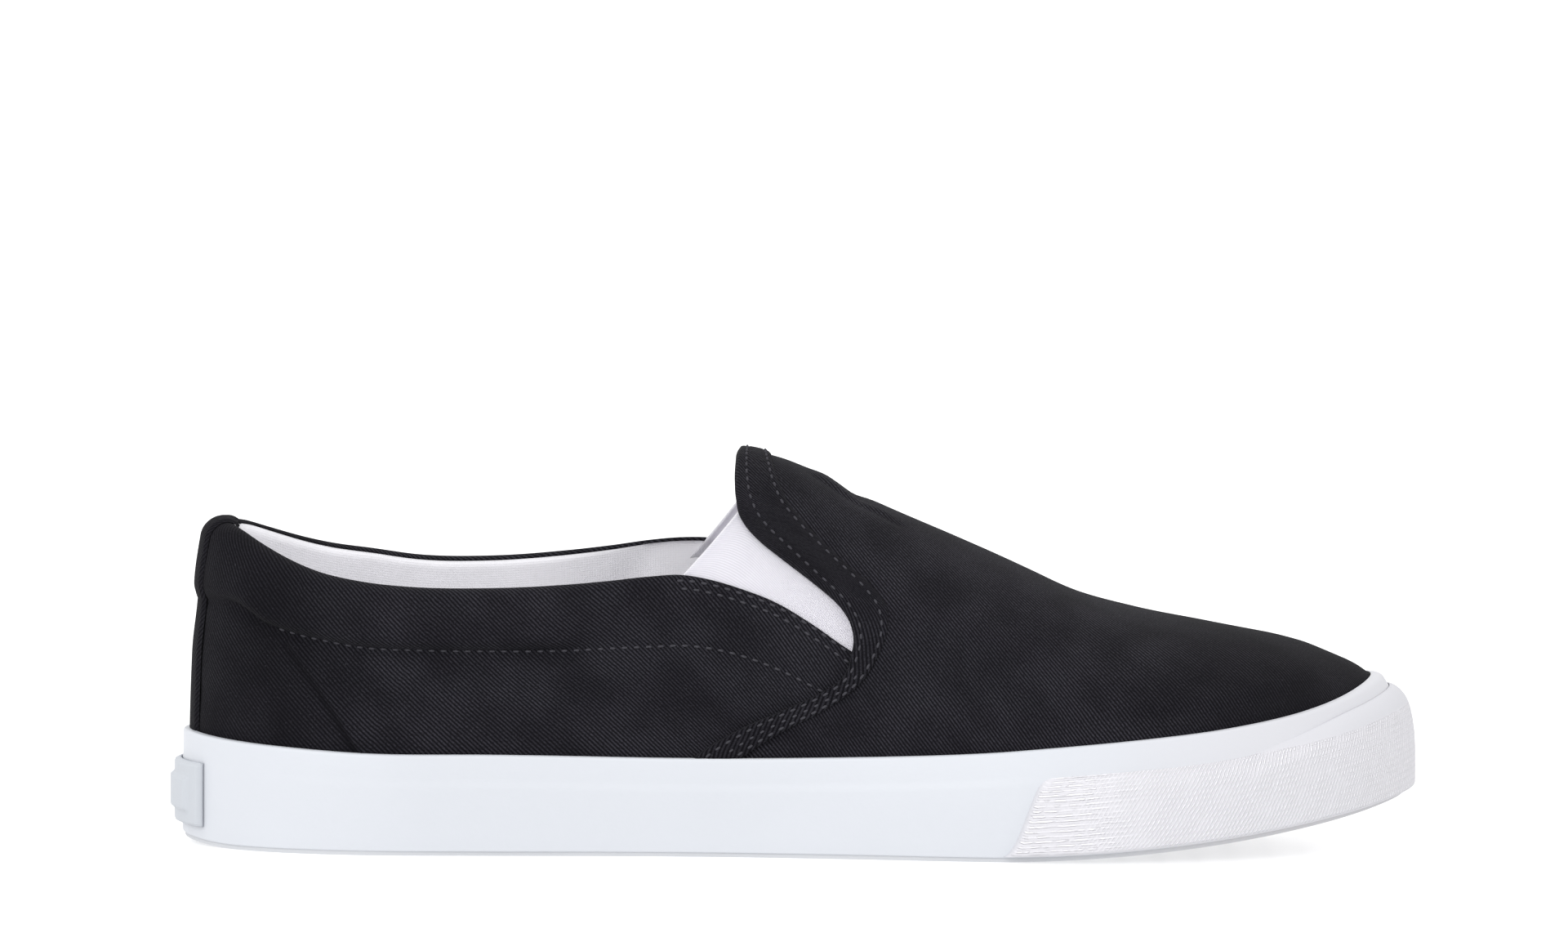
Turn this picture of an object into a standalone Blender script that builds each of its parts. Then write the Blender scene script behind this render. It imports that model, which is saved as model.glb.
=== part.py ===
"""Slip-on canvas sneaker, right shoe, standing on its sole.

Toe towards +X, outer (lateral) side towards -Y, floor at z = 0, origin under the
middle of the shoe.  Every piece is cut from one form, the surface of the upper:
a rib climbs from each point of the sole's outline to the ridge of the last.
"""

from math import pi

import bmesh
import bpy
import numpy as np

# Driving sizes in metres
LENGTH = 0.294            # heel label to toe bumper
BALL_WIDTH = 0.100        # upper, across the ball of the foot
INSTEP_HEIGHT = 0.0923    # floor to the top of the throat
HEEL_HEIGHT = 0.0755      # floor to the top of the collar at the heel
FOXING_HEIGHT = 0.0235    # floor to the top of the rubber side at the waist
TOE_SPRING = 0.0110       # lift of the sole under the tip of the toe
HEEL_SPRING = 0.0012      # lift of the sole under the back of the heel

# Thicknesses
WALL = 0.0019             # cloth and lining of the upper
PADDING = 0.0080          # padded collar at the back of the heel
SOLE = 0.0065             # outsole
INSOLE = 0.0060
FOXING = 0.0020           # rubber tape round the side
BUMPER = 0.0017           # second tape round the toe
LABEL_PLATE = 0.0016
LABEL_RISE = 0.0010       # raised middle of the heel label
GUSSET = 0.0012           # elastic
BAND = 0.0008             # folded strip round the throat
STAY = 0.0005             # strip up the back of the heel

# Fits and small steps
GAP = 0.0003              # clearance between pieces that touch
EDGE = 0.0006             # rounding of the rubber edges
SOLE_LIP = 0.0010         # edge of the outsole that shows under the tape
TAPE_DEPTH = 0.0063       # upper part of the tape, down to its step
TAPE_STEP = 0.0004
VAMP_PROUD = 0.0006       # how far the vamp stands over the quarter
QUARTER_INSET = 0.00015
QUARTER_TUCK = 0.0004     # the quarter ends this much above the vamp's lower edge
VAMP_LAP = 0.0085         # the quarter runs on under the vamp
VAMP_RAMP = 0.0040        # height over which the vamp rises from behind the tape
VAMP_START = 0.0035       # the rise starts this far above the tape
BAND_WIDTH = 0.0075
STAY_WIDTH = 0.020
GUSSET_TUCK = 0.0060      # the elastic runs on behind the upper
LABEL_WIDTH = 0.032
LABEL_LOW = 0.0045        # lower and upper edge of the heel label
LABEL_HIGH = 0.0195
LABEL_BORDER = 0.0036
CREASE_DENT = 0.0006      # pinch under the padded collar
PAD_RAMP = 0.0050         # height over which the padding swells
GROOVE_WIDTH = 0.0022     # tread grooves
GROOVE_DEPTH = 0.0012
GROOVE_PITCH = 0.0090
GROOVE_MARGIN = 0.0085    # smooth border of the tread

# Sections of the last.  Widths from the centre line are shares of BALL_WIDTH, the
# crown is a share of INSTEP_HEIGHT, fullness 2 is an ellipse, and the ridge is how
# far the crown lies to the inner side, as a share of BALL_WIDTH.
SECTIONS = np.array([
    # share, lateral, medial, crown, fullness, ridge
    (0.000, 0.000, 0.000, 1.170, 2.00, 0.00),
    (0.030, 0.192, 0.192, 1.170, 2.00, 0.00),
    (0.080, 0.290, 0.290, 1.170, 2.00, 0.00),
    (0.150, 0.345, 0.342, 1.170, 2.00, 0.00),
    (0.250, 0.357, 0.352, 1.170, 2.00, 0.00),
    (0.350, 0.363, 0.340, 1.100, 2.10, 0.01),
    (0.450, 0.384, 0.332, 0.994, 2.25, 0.02),
    (0.490, 0.400, 0.340, 0.964, 2.25, 0.02),
    (0.550, 0.428, 0.366, 0.874, 2.20, 0.03),
    (0.630, 0.470, 0.420, 0.768, 2.20, 0.03),
    (0.690, 0.494, 0.465, 0.681, 2.25, 0.03),
    (0.730, 0.500, 0.486, 0.626, 2.30, 0.03),
    (0.780, 0.491, 0.500, 0.581, 2.40, 0.04),
    (0.840, 0.453, 0.492, 0.545, 2.50, 0.04),
    (0.890, 0.387, 0.462, 0.515, 2.65, 0.05),
    (0.940, 0.282, 0.398, 0.486, 2.80, 0.05),
    (0.980, 0.130, 0.290, 0.483, 2.80, 0.06),
    (1.000, -0.070, 0.070, 0.483, 2.80, 0.06),
])

# Collar, top line and the crease under its padding as shares of HEEL_HEIGHT, and
# the thickness of the padding as a share of PADDING.
COLLAR = np.array([
    # share, lateral, medial, crease, padding
    (0.000, 1.000, 1.000, 0.710, 1.00),
    (0.025, 0.972, 0.985, 0.707, 0.97),
    (0.045, 0.940, 0.963, 0.702, 0.93),
    (0.070, 0.902, 0.936, 0.691, 0.86),
    (0.105, 0.858, 0.905, 0.668, 0.79),
    (0.145, 0.830, 0.883, 0.643, 0.73),
    (0.185, 0.816, 0.862, 0.632, 0.70),
    (0.250, 0.812, 0.858, 0.628, 0.68),
    (0.315, 0.823, 0.876, 0.630, 0.55),
    (0.350, 0.835, 0.891, 0.637, 0.30),
    (0.385, 0.850, 0.909, 0.643, 0.00),
    (0.410, 0.855, 0.917, 0.646, 0.00),
    (0.435, 0.840, 0.915, 0.635, 0.00),
    (0.460, 0.813, 0.893, 0.612, 0.00),
    (0.490, 0.770, 0.838, 0.570, 0.00),
    (0.518, 0.709, 0.765, 0.518, 0.00),
    (0.545, 0.640, 0.690, 0.470, 0.00),
    (0.580, 0.560, 0.605, 0.410, 0.00),
])

# Back edge of the vamp from the sole (lift 0) over the ridge (lift 1), as a share
# of the upper's length, and the strip along it, as a multiple of BAND_WIDTH.
THROAT = np.array([
    # lift, edge, band
    (0.000, 0.3750, 1.50),
    (0.106, 0.4253, 1.36),
    (0.140, 0.4519, 1.25),
    (0.186, 0.4916, 0.90),
    (0.227, 0.5181, 0.66),
    (0.275, 0.5379, 0.56),
    (0.335, 0.5465, 0.70),
    (0.385, 0.5482, 0.90),
    (0.421, 0.5440, 1.16),
    (0.455, 0.5330, 1.60),
    (0.480, 0.5177, 2.15),
    (0.503, 0.5012, 2.60),
    (0.535, 0.4830, 2.85),
    (0.573, 0.4681, 2.58),
    (0.610, 0.4595, 2.20),
    (0.671, 0.4545, 1.60),
    (0.745, 0.4528, 1.30),
    (0.860, 0.4530, 1.05),
    (1.000, 0.4547, 0.84),
])

# Top of the rubber side, as a share of FOXING_HEIGHT.
FOXING_TOP = np.array([
    # share, height
    (0.000, 1.125),
    (0.035, 1.085),
    (0.085, 1.045),
    (0.150, 1.003),
    (0.250, 0.995),
    (0.450, 0.972),
    (0.520, 0.990),
    (0.585, 1.016),
    (0.650, 1.055),
    (0.716, 1.120),
    (0.782, 1.189),
    (0.850, 1.272),
    (0.920, 1.401),
    (0.960, 1.508),
    (1.000, 1.640),
])

# Fan of the ribs, in shares of the upper's length
HEEL_FAN = 0.045          # the heel's rib leans forward this far at the crown
HEEL_FAN_END = 0.25
TOE_FAN = 0.115           # the toe's rib leans back this far at the crown
TOE_FAN_START = 0.62
SPRING_START = 0.655      # the sole leaves the floor here
SPRING_POWER = 1.8
HEEL_SPRING_END = 0.05
BUMPER_LOW = 0.668        # slanted back edge of the bumper, below and above
BUMPER_HIGH = 0.706
BAND_FOOT = 0.13                 # lift at which the throat's strip meets the tape
GUSSET_LIFT = (0.79, 0.42)       # along the vamp, from its free edge to its tip
GUSSET_SHARE = (0.400, 0.556)    # along the quarter
HEEL_TREAD = (0.07, 0.30)        # grooved parts of the outsole
BALL_TREAD = (0.48, 0.93)
DENT_START = 0.6                 # the pinch under the collar starts this far up the wall
LAST_HEEL = 0.15                 # the label and the stay lie within this share

# Places that follow from the sizes
HEEL_X = LABEL_RISE + LABEL_PLATE + GAP + FOXING + GAP
TOE_X = LENGTH - BUMPER - GAP - FOXING - GAP
UPPER_LENGTH = TOE_X - HEEL_X
FOXING_GROW = GAP + FOXING
BUMPER_GROW = FOXING_GROW + GAP
SMALL = 0.001             # step for slopes, in turns and lifts

# Fineness of the meshes
RING_STEPS = 42           # along one side of the sole
HEEL_STEPS = 17           # along one side of the quarter
TOE_STEPS = 22            # along one side of the bumper
BAND_STEPS = 24           # along one side of the throat's strip
STAY_STEPS = 4            # across one half of the heel's strip
GUSSET_STEPS = (9, 6)     # along and across the elastic
VAMP_STEPS = 18           # from the throat to the toe
VAMP_CROWDING = 0.45      # 0 to 1, closer steps at both ends of the vamp
VAMP_LEVELS = 19          # from the sole to the ridge
LEVEL_CROWDING = 0.30     # 0 to 1, closer levels where the throat's edge turns
WALL_STEPS = 5            # from the sole to the collar's crease
PAD_STEPS = 4             # from the crease to the collar's roll
ROLL_STEPS = 4            # round the top of the collar
FOXING_LEVELS = (0.50, 0.68, 0.84, 1.0)      # up the back of the rubber side
BUMPER_LEVELS = (0.0, 0.06, 0.35, 0.65, 0.94, 1.0)
BAND_LEVELS = (0.0, 0.33, 0.67, 1.0)         # across the throat's strip
LABEL_LEVELS = (0.6, 0.3, 0.0, -0.3, -0.6)   # across the raised middle of the label

COLOURS = {
    # name: colour, roughness
    "canvas": ((0.021, 0.020, 0.026), 0.85),
    "elastic": ((0.83, 0.81, 0.88), 0.75),
    "foxing_rubber": ((0.76, 0.80, 0.86), 0.45),
    "bumper_rubber": ((0.80, 0.79, 0.83), 0.55),
    "sole_rubber": ((0.66, 0.68, 0.70), 0.60),
    "insole_cloth": ((0.70, 0.70, 0.72), 0.80),
}


def smooth(knots, values, at):
    """Cubic curve through the knots; its slope at a knot comes from the neighbours."""
    slopes = np.gradient(values, knots)
    at = np.clip(at, knots[0], knots[-1])
    i = np.clip(np.searchsorted(knots, at, side="right") - 1, 0, len(knots) - 2)
    width = knots[i + 1] - knots[i]
    f = (at - knots[i]) / width
    ends = (1 + 2 * f) * (1 - f) ** 2 * values[i] + f * f * (3 - 2 * f) * values[i + 1]
    return ends + width * f * (1 - f) * ((1 - f) * slopes[i] - f * slopes[i + 1])


def ramp(f):
    """Soft step from 0 to 1."""
    f = np.clip(f, 0, 1)
    return f * f * (3 - 2 * f)


def turn_of(share):
    """A turn runs from 0 at the heel to 1 at the toe, closely spaced at both ends."""
    return np.arccos(1 - 2 * np.asarray(share)) / pi


def share_of(turn):
    return (1 - np.cos(pi * np.asarray(turn))) / 2


def share_at(x):
    return (x - HEEL_X) / UPPER_LENGTH


def outline(side, turn):
    """Plan of the upper at the sole; side is -1 lateral, +1 medial."""
    turns = turn_of(SECTIONS[:, 0])
    lateral = smooth(turns, SECTIONS[:, 1], turn)
    medial = smooth(turns, SECTIONS[:, 2], turn)
    half = np.where(np.asarray(side) < 0, lateral, medial) * BALL_WIDTH
    return HEEL_X + UPPER_LENGTH * share_of(turn), side * half


def sole_bottom(share):
    """Underside of the sole: flat from heel to ball, sprung at the toe."""
    toe = np.clip((share - SPRING_START) / (1 - SPRING_START), 0, 1)
    heel = np.clip(1 - share / HEEL_SPRING_END, 0, 1)
    return TOE_SPRING * toe ** SPRING_POWER + HEEL_SPRING * heel ** 2


def feather(share):
    """Height of the upper's lower edge, just above the outsole."""
    return sole_bottom(share) + SOLE + GAP


def foxing_top(share):
    return FOXING_HEIGHT * smooth(FOXING_TOP[:, 0], FOXING_TOP[:, 1], share)


def form(side, turn, lift):
    """Surface of the last: a rib of rounded section from the outline to the ridge."""
    share = share_of(turn)
    x, y = outline(side, turn)
    power = 2 / smooth(SECTIONS[:, 0], SECTIONS[:, 4], share)
    rise = np.sin(lift * pi / 2) ** power
    inward = 1 - np.maximum(np.cos(lift * pi / 2), 0) ** power
    lean = HEEL_FAN * np.clip(1 - share / HEEL_FAN_END, 0, 1) ** 2
    lean = lean - TOE_FAN * np.clip((share - TOE_FAN_START) / (1 - TOE_FAN_START), 0, 1) ** 2
    ridge = BALL_WIDTH * smooth(SECTIONS[:, 0], SECTIONS[:, 5], share + lean)
    x = x + (HEEL_X + UPPER_LENGTH * (share + lean) - x) * inward
    y = y + (ridge - y) * inward
    crown = INSTEP_HEIGHT * smooth(SECTIONS[:, 0], SECTIONS[:, 3], share_at(x))
    low = feather(share)
    return np.stack(np.broadcast_arrays(x, y, low + (crown - low) * rise), axis=-1)


def normal(side, turn, lift):
    """Outward unit normal of the form, from small steps both ways."""
    turn = np.clip(turn, SMALL, 1 - SMALL)
    lift = np.clip(lift, SMALL, 1 - SMALL)
    along = form(side, turn + SMALL, lift) - form(side, turn - SMALL, lift)
    up = form(side, turn, lift + SMALL) - form(side, turn, lift - SMALL)
    across = np.cross(along, up) * -np.asarray(side, float)[..., None]
    return across / np.linalg.norm(across, axis=-1, keepdims=True)


def skin(side, turn, lift, grow):
    """The form grown outwards by a distance that may vary."""
    side, turn, lift, grow = np.broadcast_arrays(side, turn, lift, grow)
    return form(side, turn, lift) + grow[..., None] * normal(side, turn, lift)


def lift_at(side, turn, height):
    """Lift at which a rib reaches a height; the crown's height is met in a few rounds."""
    share = share_of(turn)
    fullness = smooth(SECTIONS[:, 0], SECTIONS[:, 4], share)
    low = feather(share)
    lift = np.full(np.broadcast(side, turn, height).shape, 0.3)
    for _ in range(5):
        x = form(side, turn, lift)[..., 0]
        crown = INSTEP_HEIGHT * smooth(SECTIONS[:, 0], SECTIONS[:, 3], share_at(x))
        rise = np.clip((height - low) / (crown - low), 0, 1)
        lift = np.arcsin(rise ** (fullness / 2)) * 2 / pi
    return lift


def at_height(side, turn, height, grow):
    """Point at a height, moved level so that it lies grow away from the form."""
    side, turn, height, grow = np.broadcast_arrays(side, turn, height, grow)
    lift = lift_at(side, turn, height)
    point = form(side, turn, lift)
    level = normal(side, turn, lift)[..., :2]
    point[..., :2] += level * (grow / np.sum(level ** 2, axis=-1))[..., None]
    point[..., 2] = height
    return point


def turn_at_reach(side, reach):
    """Turn near the heel where the outline is this far from the centre line."""
    turns = np.linspace(0, turn_of(LAST_HEEL), 60)
    return np.interp(reach, np.abs(outline(side, turns)[1]), turns)


# Centre of the outline, so that the origin lies under the middle of the shoe
_turns = np.linspace(0, 1, 2001)
CENTRE_Y = (outline(-1, _turns)[1].min() + outline(1, _turns)[1].max()) / 2
CENTRE = np.array((LENGTH / 2, CENTRE_Y, 0.0))


def material(name):
    """Principled material in one of the shoe's colours."""
    found = bpy.data.materials.get(name)
    if found:
        return found
    colour, roughness = COLOURS[name]
    made = bpy.data.materials.new(name)
    made.use_nodes = True
    shader = made.node_tree.nodes["Principled BSDF"]
    shader.inputs["Base Color"].default_value = (*colour, 1)
    shader.inputs["Roughness"].default_value = roughness
    shader.inputs["Metallic"].default_value = 0.0
    made.diffuse_color = (*colour, 1)
    return made


def new_object(name, mesh, finish, group):
    mesh.materials.append(material(finish))
    mesh.shade_smooth()
    mesh.set_sharp_from_angle(angle=pi / 5)
    made = bpy.data.objects.new(name, mesh)
    group.objects.link(made)
    return made


def sweep(name, loops, finish, group, ring=False, folded=False):
    """Solid through closed loops of points, array (loop, point, xyz).

    The loops close on each other when ring is set; otherwise the first and the last
    are closed by faces from one half of the loop to the other, unless the last loop
    is folded flat.  Points that fall together, as along the ridge, are joined.
    """
    count, size = loops.shape[:2]
    index = np.arange(count * size).reshape(count, size)
    first = index if ring else index[:-1]
    second = np.roll(index, -1, axis=0) if ring else index[1:]
    quads = np.stack((first, np.roll(first, -1, axis=1), np.roll(second, -1, axis=1), second), axis=-1)
    faces = quads.reshape(-1, 4).tolist()
    if not ring:
        half = size // 2
        for row in index[:1] if folded else index[[0, -1]]:
            back = row[::-1]
            ends = np.stack((row[:half - 1], row[1:half], back[1:half], back[:half - 1]), axis=-1)
            faces += ends.tolist()
    mesh = bpy.data.meshes.new(name)
    mesh.from_pydata((loops.reshape(-1, 3) - CENTRE).tolist(), [], faces)
    shape = bmesh.new()
    shape.from_mesh(mesh)
    bmesh.ops.remove_doubles(shape, verts=shape.verts, dist=1e-6)
    bmesh.ops.dissolve_degenerate(shape, edges=shape.edges, dist=1e-7)
    bmesh.ops.recalc_face_normals(shape, faces=shape.faces)
    shape.to_mesh(mesh)
    shape.free()
    return new_object(name, mesh, finish, group)


def around_end(steps):
    """Sides and distances from one end of the shoe, from lateral round it to medial."""
    away = np.linspace(-1, 1, 2 * steps + 1)
    return np.where(away < 0, -1, 1), np.abs(away)


def ring_stations():
    """Sides and turns once round the whole outline."""
    turns = np.linspace(0, 1, RING_STEPS + 1)
    side = np.concatenate((np.full(RING_STEPS, -1), np.full(RING_STEPS, 1)))
    return side, np.concatenate((turns[:-1], turns[:0:-1]))


def slab(name, side, turn, height, inner, outer, finish, group):
    """Patch of the form with thickness: arrays (station, level) of its two faces."""
    front = at_height(side, turn, height, outer)
    back = at_height(side, turn, height, inner)
    return sweep(name, np.concatenate((front, back[:, ::-1]), axis=1), finish, group)


def throat_share(lift):
    return smooth(THROAT[:, 0], THROAT[:, 1], lift)


def collar(side, share, column=None):
    """Collar's top line, or another column of its table as a height."""
    if column is not None:
        return smooth(COLLAR[:, 0], COLLAR[:, column], share)
    lateral = smooth(COLLAR[:, 0], COLLAR[:, 1], share)
    medial = smooth(COLLAR[:, 0], COLLAR[:, 2], share)
    return HEEL_HEIGHT * np.where(np.asarray(side) < 0, lateral, medial)


def quarter_section(side, share, bottom, out):
    """Heights and growths up the quarter's outer face and over its padded roll.

    Straight up to the crease, a swelling up to the roll, then a quarter circle of
    half the padding's thickness; out moves the whole line off the face.
    """
    top = collar(side, share)
    crease = HEEL_HEIGHT * collar(side, share, 3)
    radius = (WALL + (PADDING - WALL) * np.clip(collar(side, share, 4), 0, 1)) / 2
    shoulder = top - radius
    climb = np.linspace(0, 1, WALL_STEPS + 1)[:, None]
    swell = np.linspace(0, 1, PAD_STEPS + 1)[1:, None]
    wall = bottom + (crease - bottom) * climb
    pad = crease + (shoulder - crease) * swell
    dent = -CREASE_DENT * np.clip(collar(side, share, 4), 0, 1)
    wall_grow = dent * ramp((climb - DENT_START) / (1 - DENT_START))
    pad_grow = dent * (1 - ramp(swell * 2))
    angle = np.linspace(0, pi / 2, ROLL_STEPS + 1)[1:, None]
    roll = shoulder + (radius + out) * np.sin(angle)
    roll_grow = -radius + (radius + out) * np.cos(angle)
    height = np.concatenate((wall, pad, roll)).T
    grow = np.concatenate((wall_grow + out, pad_grow + out, roll_grow)).T
    return height, grow - QUARTER_INSET, radius[:, None], crease[:, None], shoulder[:, None]


def quarter(group):
    """Back half of the upper, from under one edge of the vamp round the heel to the other."""
    side, away = around_end(HEEL_STEPS)
    front = turn_of(COLLAR[-1, 0])
    share = share_of(away * front)
    height, outer, radius, crease, shoulder = quarter_section(
        side, share, feather(share) + QUARTER_TUCK, 0.0)
    level = (height - height[:, :1]) / (height[:, -1:] - height[:, :1])
    lap = VAMP_LAP / UPPER_LENGTH
    edge = throat_share(lift_at(side[:, None], front, height[0]))
    reach = turn_of(np.minimum(edge + lap, COLLAR[-1, 0]))
    turn = away[:, None] * reach
    share = share_of(turn)
    height = (feather(share) + QUARTER_TUCK) * (1 - level) + level * height[:, -1:]
    swell = ramp((height - crease + PAD_RAMP) / (2 * PAD_RAMP))
    inner = -WALL + (WALL - 2 * radius) * swell - QUARTER_INSET * swell
    roll = np.clip((height - shoulder) / radius, 0, 1)
    inner = np.where(height > shoulder, -radius - radius * np.sqrt(1 - roll ** 2) - QUARTER_INSET, inner)
    return slab("quarter", side[:, None], turn, height, inner, outer, "canvas", group)


def vamp(group):
    """Front half of the upper, an arch from side to side, closed round the toe."""
    lift = np.linspace(0, 1, VAMP_LEVELS + 1)
    lift = lift + LEVEL_CROWDING * np.sin(2 * pi * lift) / (2 * pi)
    lift = np.concatenate((lift, lift[-2::-1]))
    side = np.where(np.arange(len(lift)) <= VAMP_LEVELS, -1, 1)
    start = turn_of(throat_share(lift))
    forward = np.linspace(0, 1, VAMP_STEPS + 1)[:, None]
    forward = forward - VAMP_CROWDING * np.sin(2 * pi * forward) / (2 * pi)
    turn = start + (1 - start) * forward
    height = form(side, turn, lift)[..., 2]
    clear = height - foxing_top(share_of(turn)) - VAMP_START
    proud = VAMP_PROUD * ramp(clear / VAMP_RAMP)
    front = skin(side, turn, lift, proud)
    back = skin(side, turn, lift, VAMP_PROUD - WALL)
    for face in (front, back):
        face[-1] = (face[-1] + face[-1, ::-1]) / 2
    loops = np.concatenate((front, back[:, ::-1]), axis=1)
    return sweep("vamp", loops, "canvas", group, folded=True)


def upper(group, cutters):
    """The hollow upper: quarter and vamp stitched into one shell."""
    shell = vamp(group)
    shell.name = "upper"
    shell.data.name = "upper"
    tool = quarter(cutters)
    hide_tool(tool)
    union = shell.modifiers.new("quarter", "BOOLEAN")
    union.operation = "UNION"
    union.object = tool
    return shell


def hide_tool(tool):
    tool.hide_render = True
    tool.display_type = "WIRE"


def foxing(group):
    """Rubber tape round the side: a ring that follows the upper, with a step near its top."""
    side, turn = ring_stations()
    share = share_of(turn)
    low = sole_bottom(share) + SOLE_LIP + GAP
    top = foxing_top(share)
    rise = top - low
    step = top - TAPE_DEPTH
    inner = [low, feather(share)] + [low + rise * part for part in FOXING_LEVELS]
    thin = FOXING - TAPE_STEP
    outer = [
        (top, thin - EDGE),
        (top - EDGE, thin),
        (step + TAPE_STEP / 2, thin),
        (step - TAPE_STEP / 2, FOXING),
        (low + EDGE, FOXING),
        (low, FOXING - EDGE),
    ]
    height = np.stack(inner + [h for h, _ in outer], axis=1)
    grow = np.array([0.0] * len(inner) + [g for _, g in outer]) + GAP
    loops = at_height(side[:, None], turn[:, None], height, grow)
    return sweep("foxing", loops, "foxing_rubber", group, ring=True)


def toe_bumper(group):
    """Second tape round the toe, slanted at its ends."""
    side, away = around_end(TOE_STEPS)
    level = np.array(BUMPER_LEVELS)
    start = turn_of(BUMPER_LOW + (BUMPER_HIGH - BUMPER_LOW) * level)
    turn = 1 - (1 - start) * away[:, None]
    share = share_of(turn)
    low = sole_bottom(share) + SOLE_LIP + GAP + EDGE
    high = foxing_top(share) - TAPE_DEPTH - TAPE_STEP
    height = low + (high - low) * level
    outer = BUMPER_GROW + BUMPER - EDGE * ((level == 0) | (level == 1))
    return slab("toe_bumper", side[:, None], turn, height, BUMPER_GROW, outer, "bumper_rubber", group)


def heel_label(group):
    """Bare rubber label at the back, with a raised middle."""
    reach = LABEL_WIDTH / 2
    inset = np.array((0, LABEL_BORDER, LABEL_BORDER + TAPE_STEP))
    across = np.concatenate((reach - inset, np.array(LABEL_LEVELS) * reach, inset[::-1] - reach))
    up = np.concatenate((LABEL_LOW + inset, LABEL_HIGH - inset[::-1]))
    side = np.where(across > 0, -1, 1)
    turn = np.where(across > 0, turn_at_reach(-1, np.abs(across)), turn_at_reach(1, np.abs(across)))
    raised = (np.abs(across) < reach - LABEL_BORDER - TAPE_STEP / 2)[:, None]
    raised = raised & (up > LABEL_LOW + LABEL_BORDER) & (up < LABEL_HIGH - LABEL_BORDER)
    outer = BUMPER_GROW + LABEL_PLATE + LABEL_RISE * raised
    height = np.broadcast_to(up, outer.shape)
    return slab("heel_label", side[:, None], turn[:, None], height, BUMPER_GROW, outer, "bumper_rubber", group)


def throat_band(group):
    """Folded strip along the back edge of the vamp, from tape to tape over the ridge."""
    share = throat_share(BAND_FOOT) + BAND_WIDTH / UPPER_LENGTH
    foot = [lift_at(side, turn_of(share), foxing_top(share) + 2 * GAP) for side in (-1, 1)]
    lateral = np.linspace(foot[0], 1, BAND_STEPS + 1)
    medial = np.linspace(1, foot[1], BAND_STEPS + 1)[1:]
    lift = np.concatenate((lateral, medial))[:, None]
    side = np.where(np.arange(len(lift)) <= BAND_STEPS, -1, 1)[:, None]
    width = BAND_WIDTH / UPPER_LENGTH * smooth(THROAT[:, 0], THROAT[:, 2], lift)
    turn = turn_of(throat_share(lift) + width * np.array(BAND_LEVELS))
    under = VAMP_PROUD + GAP
    front = skin(side, turn, lift, under + BAND)
    back = skin(side, turn, lift, under)
    return sweep("throat_band", np.concatenate((front, back[:, ::-1]), axis=1), "canvas", group)


def heel_stay(group):
    """Strip up the back of the heel and over the collar's roll."""
    across = np.linspace(STAY_WIDTH / 2, -STAY_WIDTH / 2, 2 * STAY_STEPS + 1)
    side = np.where(across > 0, -1, 1)
    turn = turn_at_reach(1, np.abs(across))
    share = share_of(turn)
    bottom = foxing_top(share) + GAP
    under, under_grow, *_ = quarter_section(side, share, bottom, GAP)
    over, over_grow, *_ = quarter_section(side, share, bottom, GAP + STAY)
    front = at_height(side[:, None], turn[:, None], over, over_grow)
    back = at_height(side[:, None], turn[:, None], under, under_grow)
    return sweep("heel_stay", np.concatenate((front, back[:, ::-1]), axis=1), "canvas", group)


def gusset(name, side, group):
    """Elastic between quarter and vamp, just inside both."""
    along = np.linspace(0, 1, GUSSET_STEPS[0] + 1)[:, None]
    across = np.linspace(0, 1, GUSSET_STEPS[1] + 1)
    lift = GUSSET_LIFT[0] + (GUSSET_LIFT[1] - GUSSET_LIFT[0]) * along
    vamp_share = throat_share(lift) + GUSSET_TUCK / UPPER_LENGTH
    vamp_height = form(side, turn_of(vamp_share), lift)[..., 2]
    share = GUSSET_SHARE[0] + (GUSSET_SHARE[1] - GUSSET_SHARE[0]) * along
    low_height = collar(side, share) - GUSSET_TUCK
    turn = turn_of(share + (vamp_share - share) * across)
    height = low_height + (vamp_height - low_height) * across
    lifts = lift_at(side, turn, height)
    outer = -(WALL + QUARTER_INSET + GAP)
    front = skin(side, turn, lifts, outer)
    back = skin(side, turn, lifts, outer - GUSSET)
    return sweep(name, np.concatenate((front, back[:, ::-1]), axis=1), "elastic", group)


def insole(group):
    """Foot bed inside the upper, resting on the outsole."""
    side, turn = ring_stations()
    share = share_of(turn)
    low = feather(share)
    inset = -(WALL + GAP)
    rings = [
        at_height(side, turn, low, inset),
        at_height(side, turn, low + INSOLE - 2 * EDGE, inset),
        at_height(side, turn, low + INSOLE, inset - 2 * EDGE),
    ]
    return sweep("insole", np.stack(rings), "insole_cloth", group)


def outsole(group, cutters):
    """Sole sheet with a lip under the tape and grooved treads at heel and ball."""
    side, turn = ring_stations()
    share = share_of(turn)
    bottom = sole_bottom(share)
    lip = FOXING_GROW - EDGE
    profile = [(lip - EDGE, 0.0), (lip, EDGE / 2), (lip, SOLE_LIP), (0.0, SOLE_LIP), (0.0, SOLE)]
    rings = []
    for grow, rise in profile:
        ring = at_height(side, turn, feather(share), grow)
        ring[..., 2] = bottom + rise
        rings.append(ring)
    made = sweep("outsole", np.stack(rings), "sole_rubber", group)
    tool = grooves(cutters)
    cut = made.modifiers.new("tread", "BOOLEAN")
    cut.operation = "DIFFERENCE"
    cut.object = tool
    return made


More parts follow.
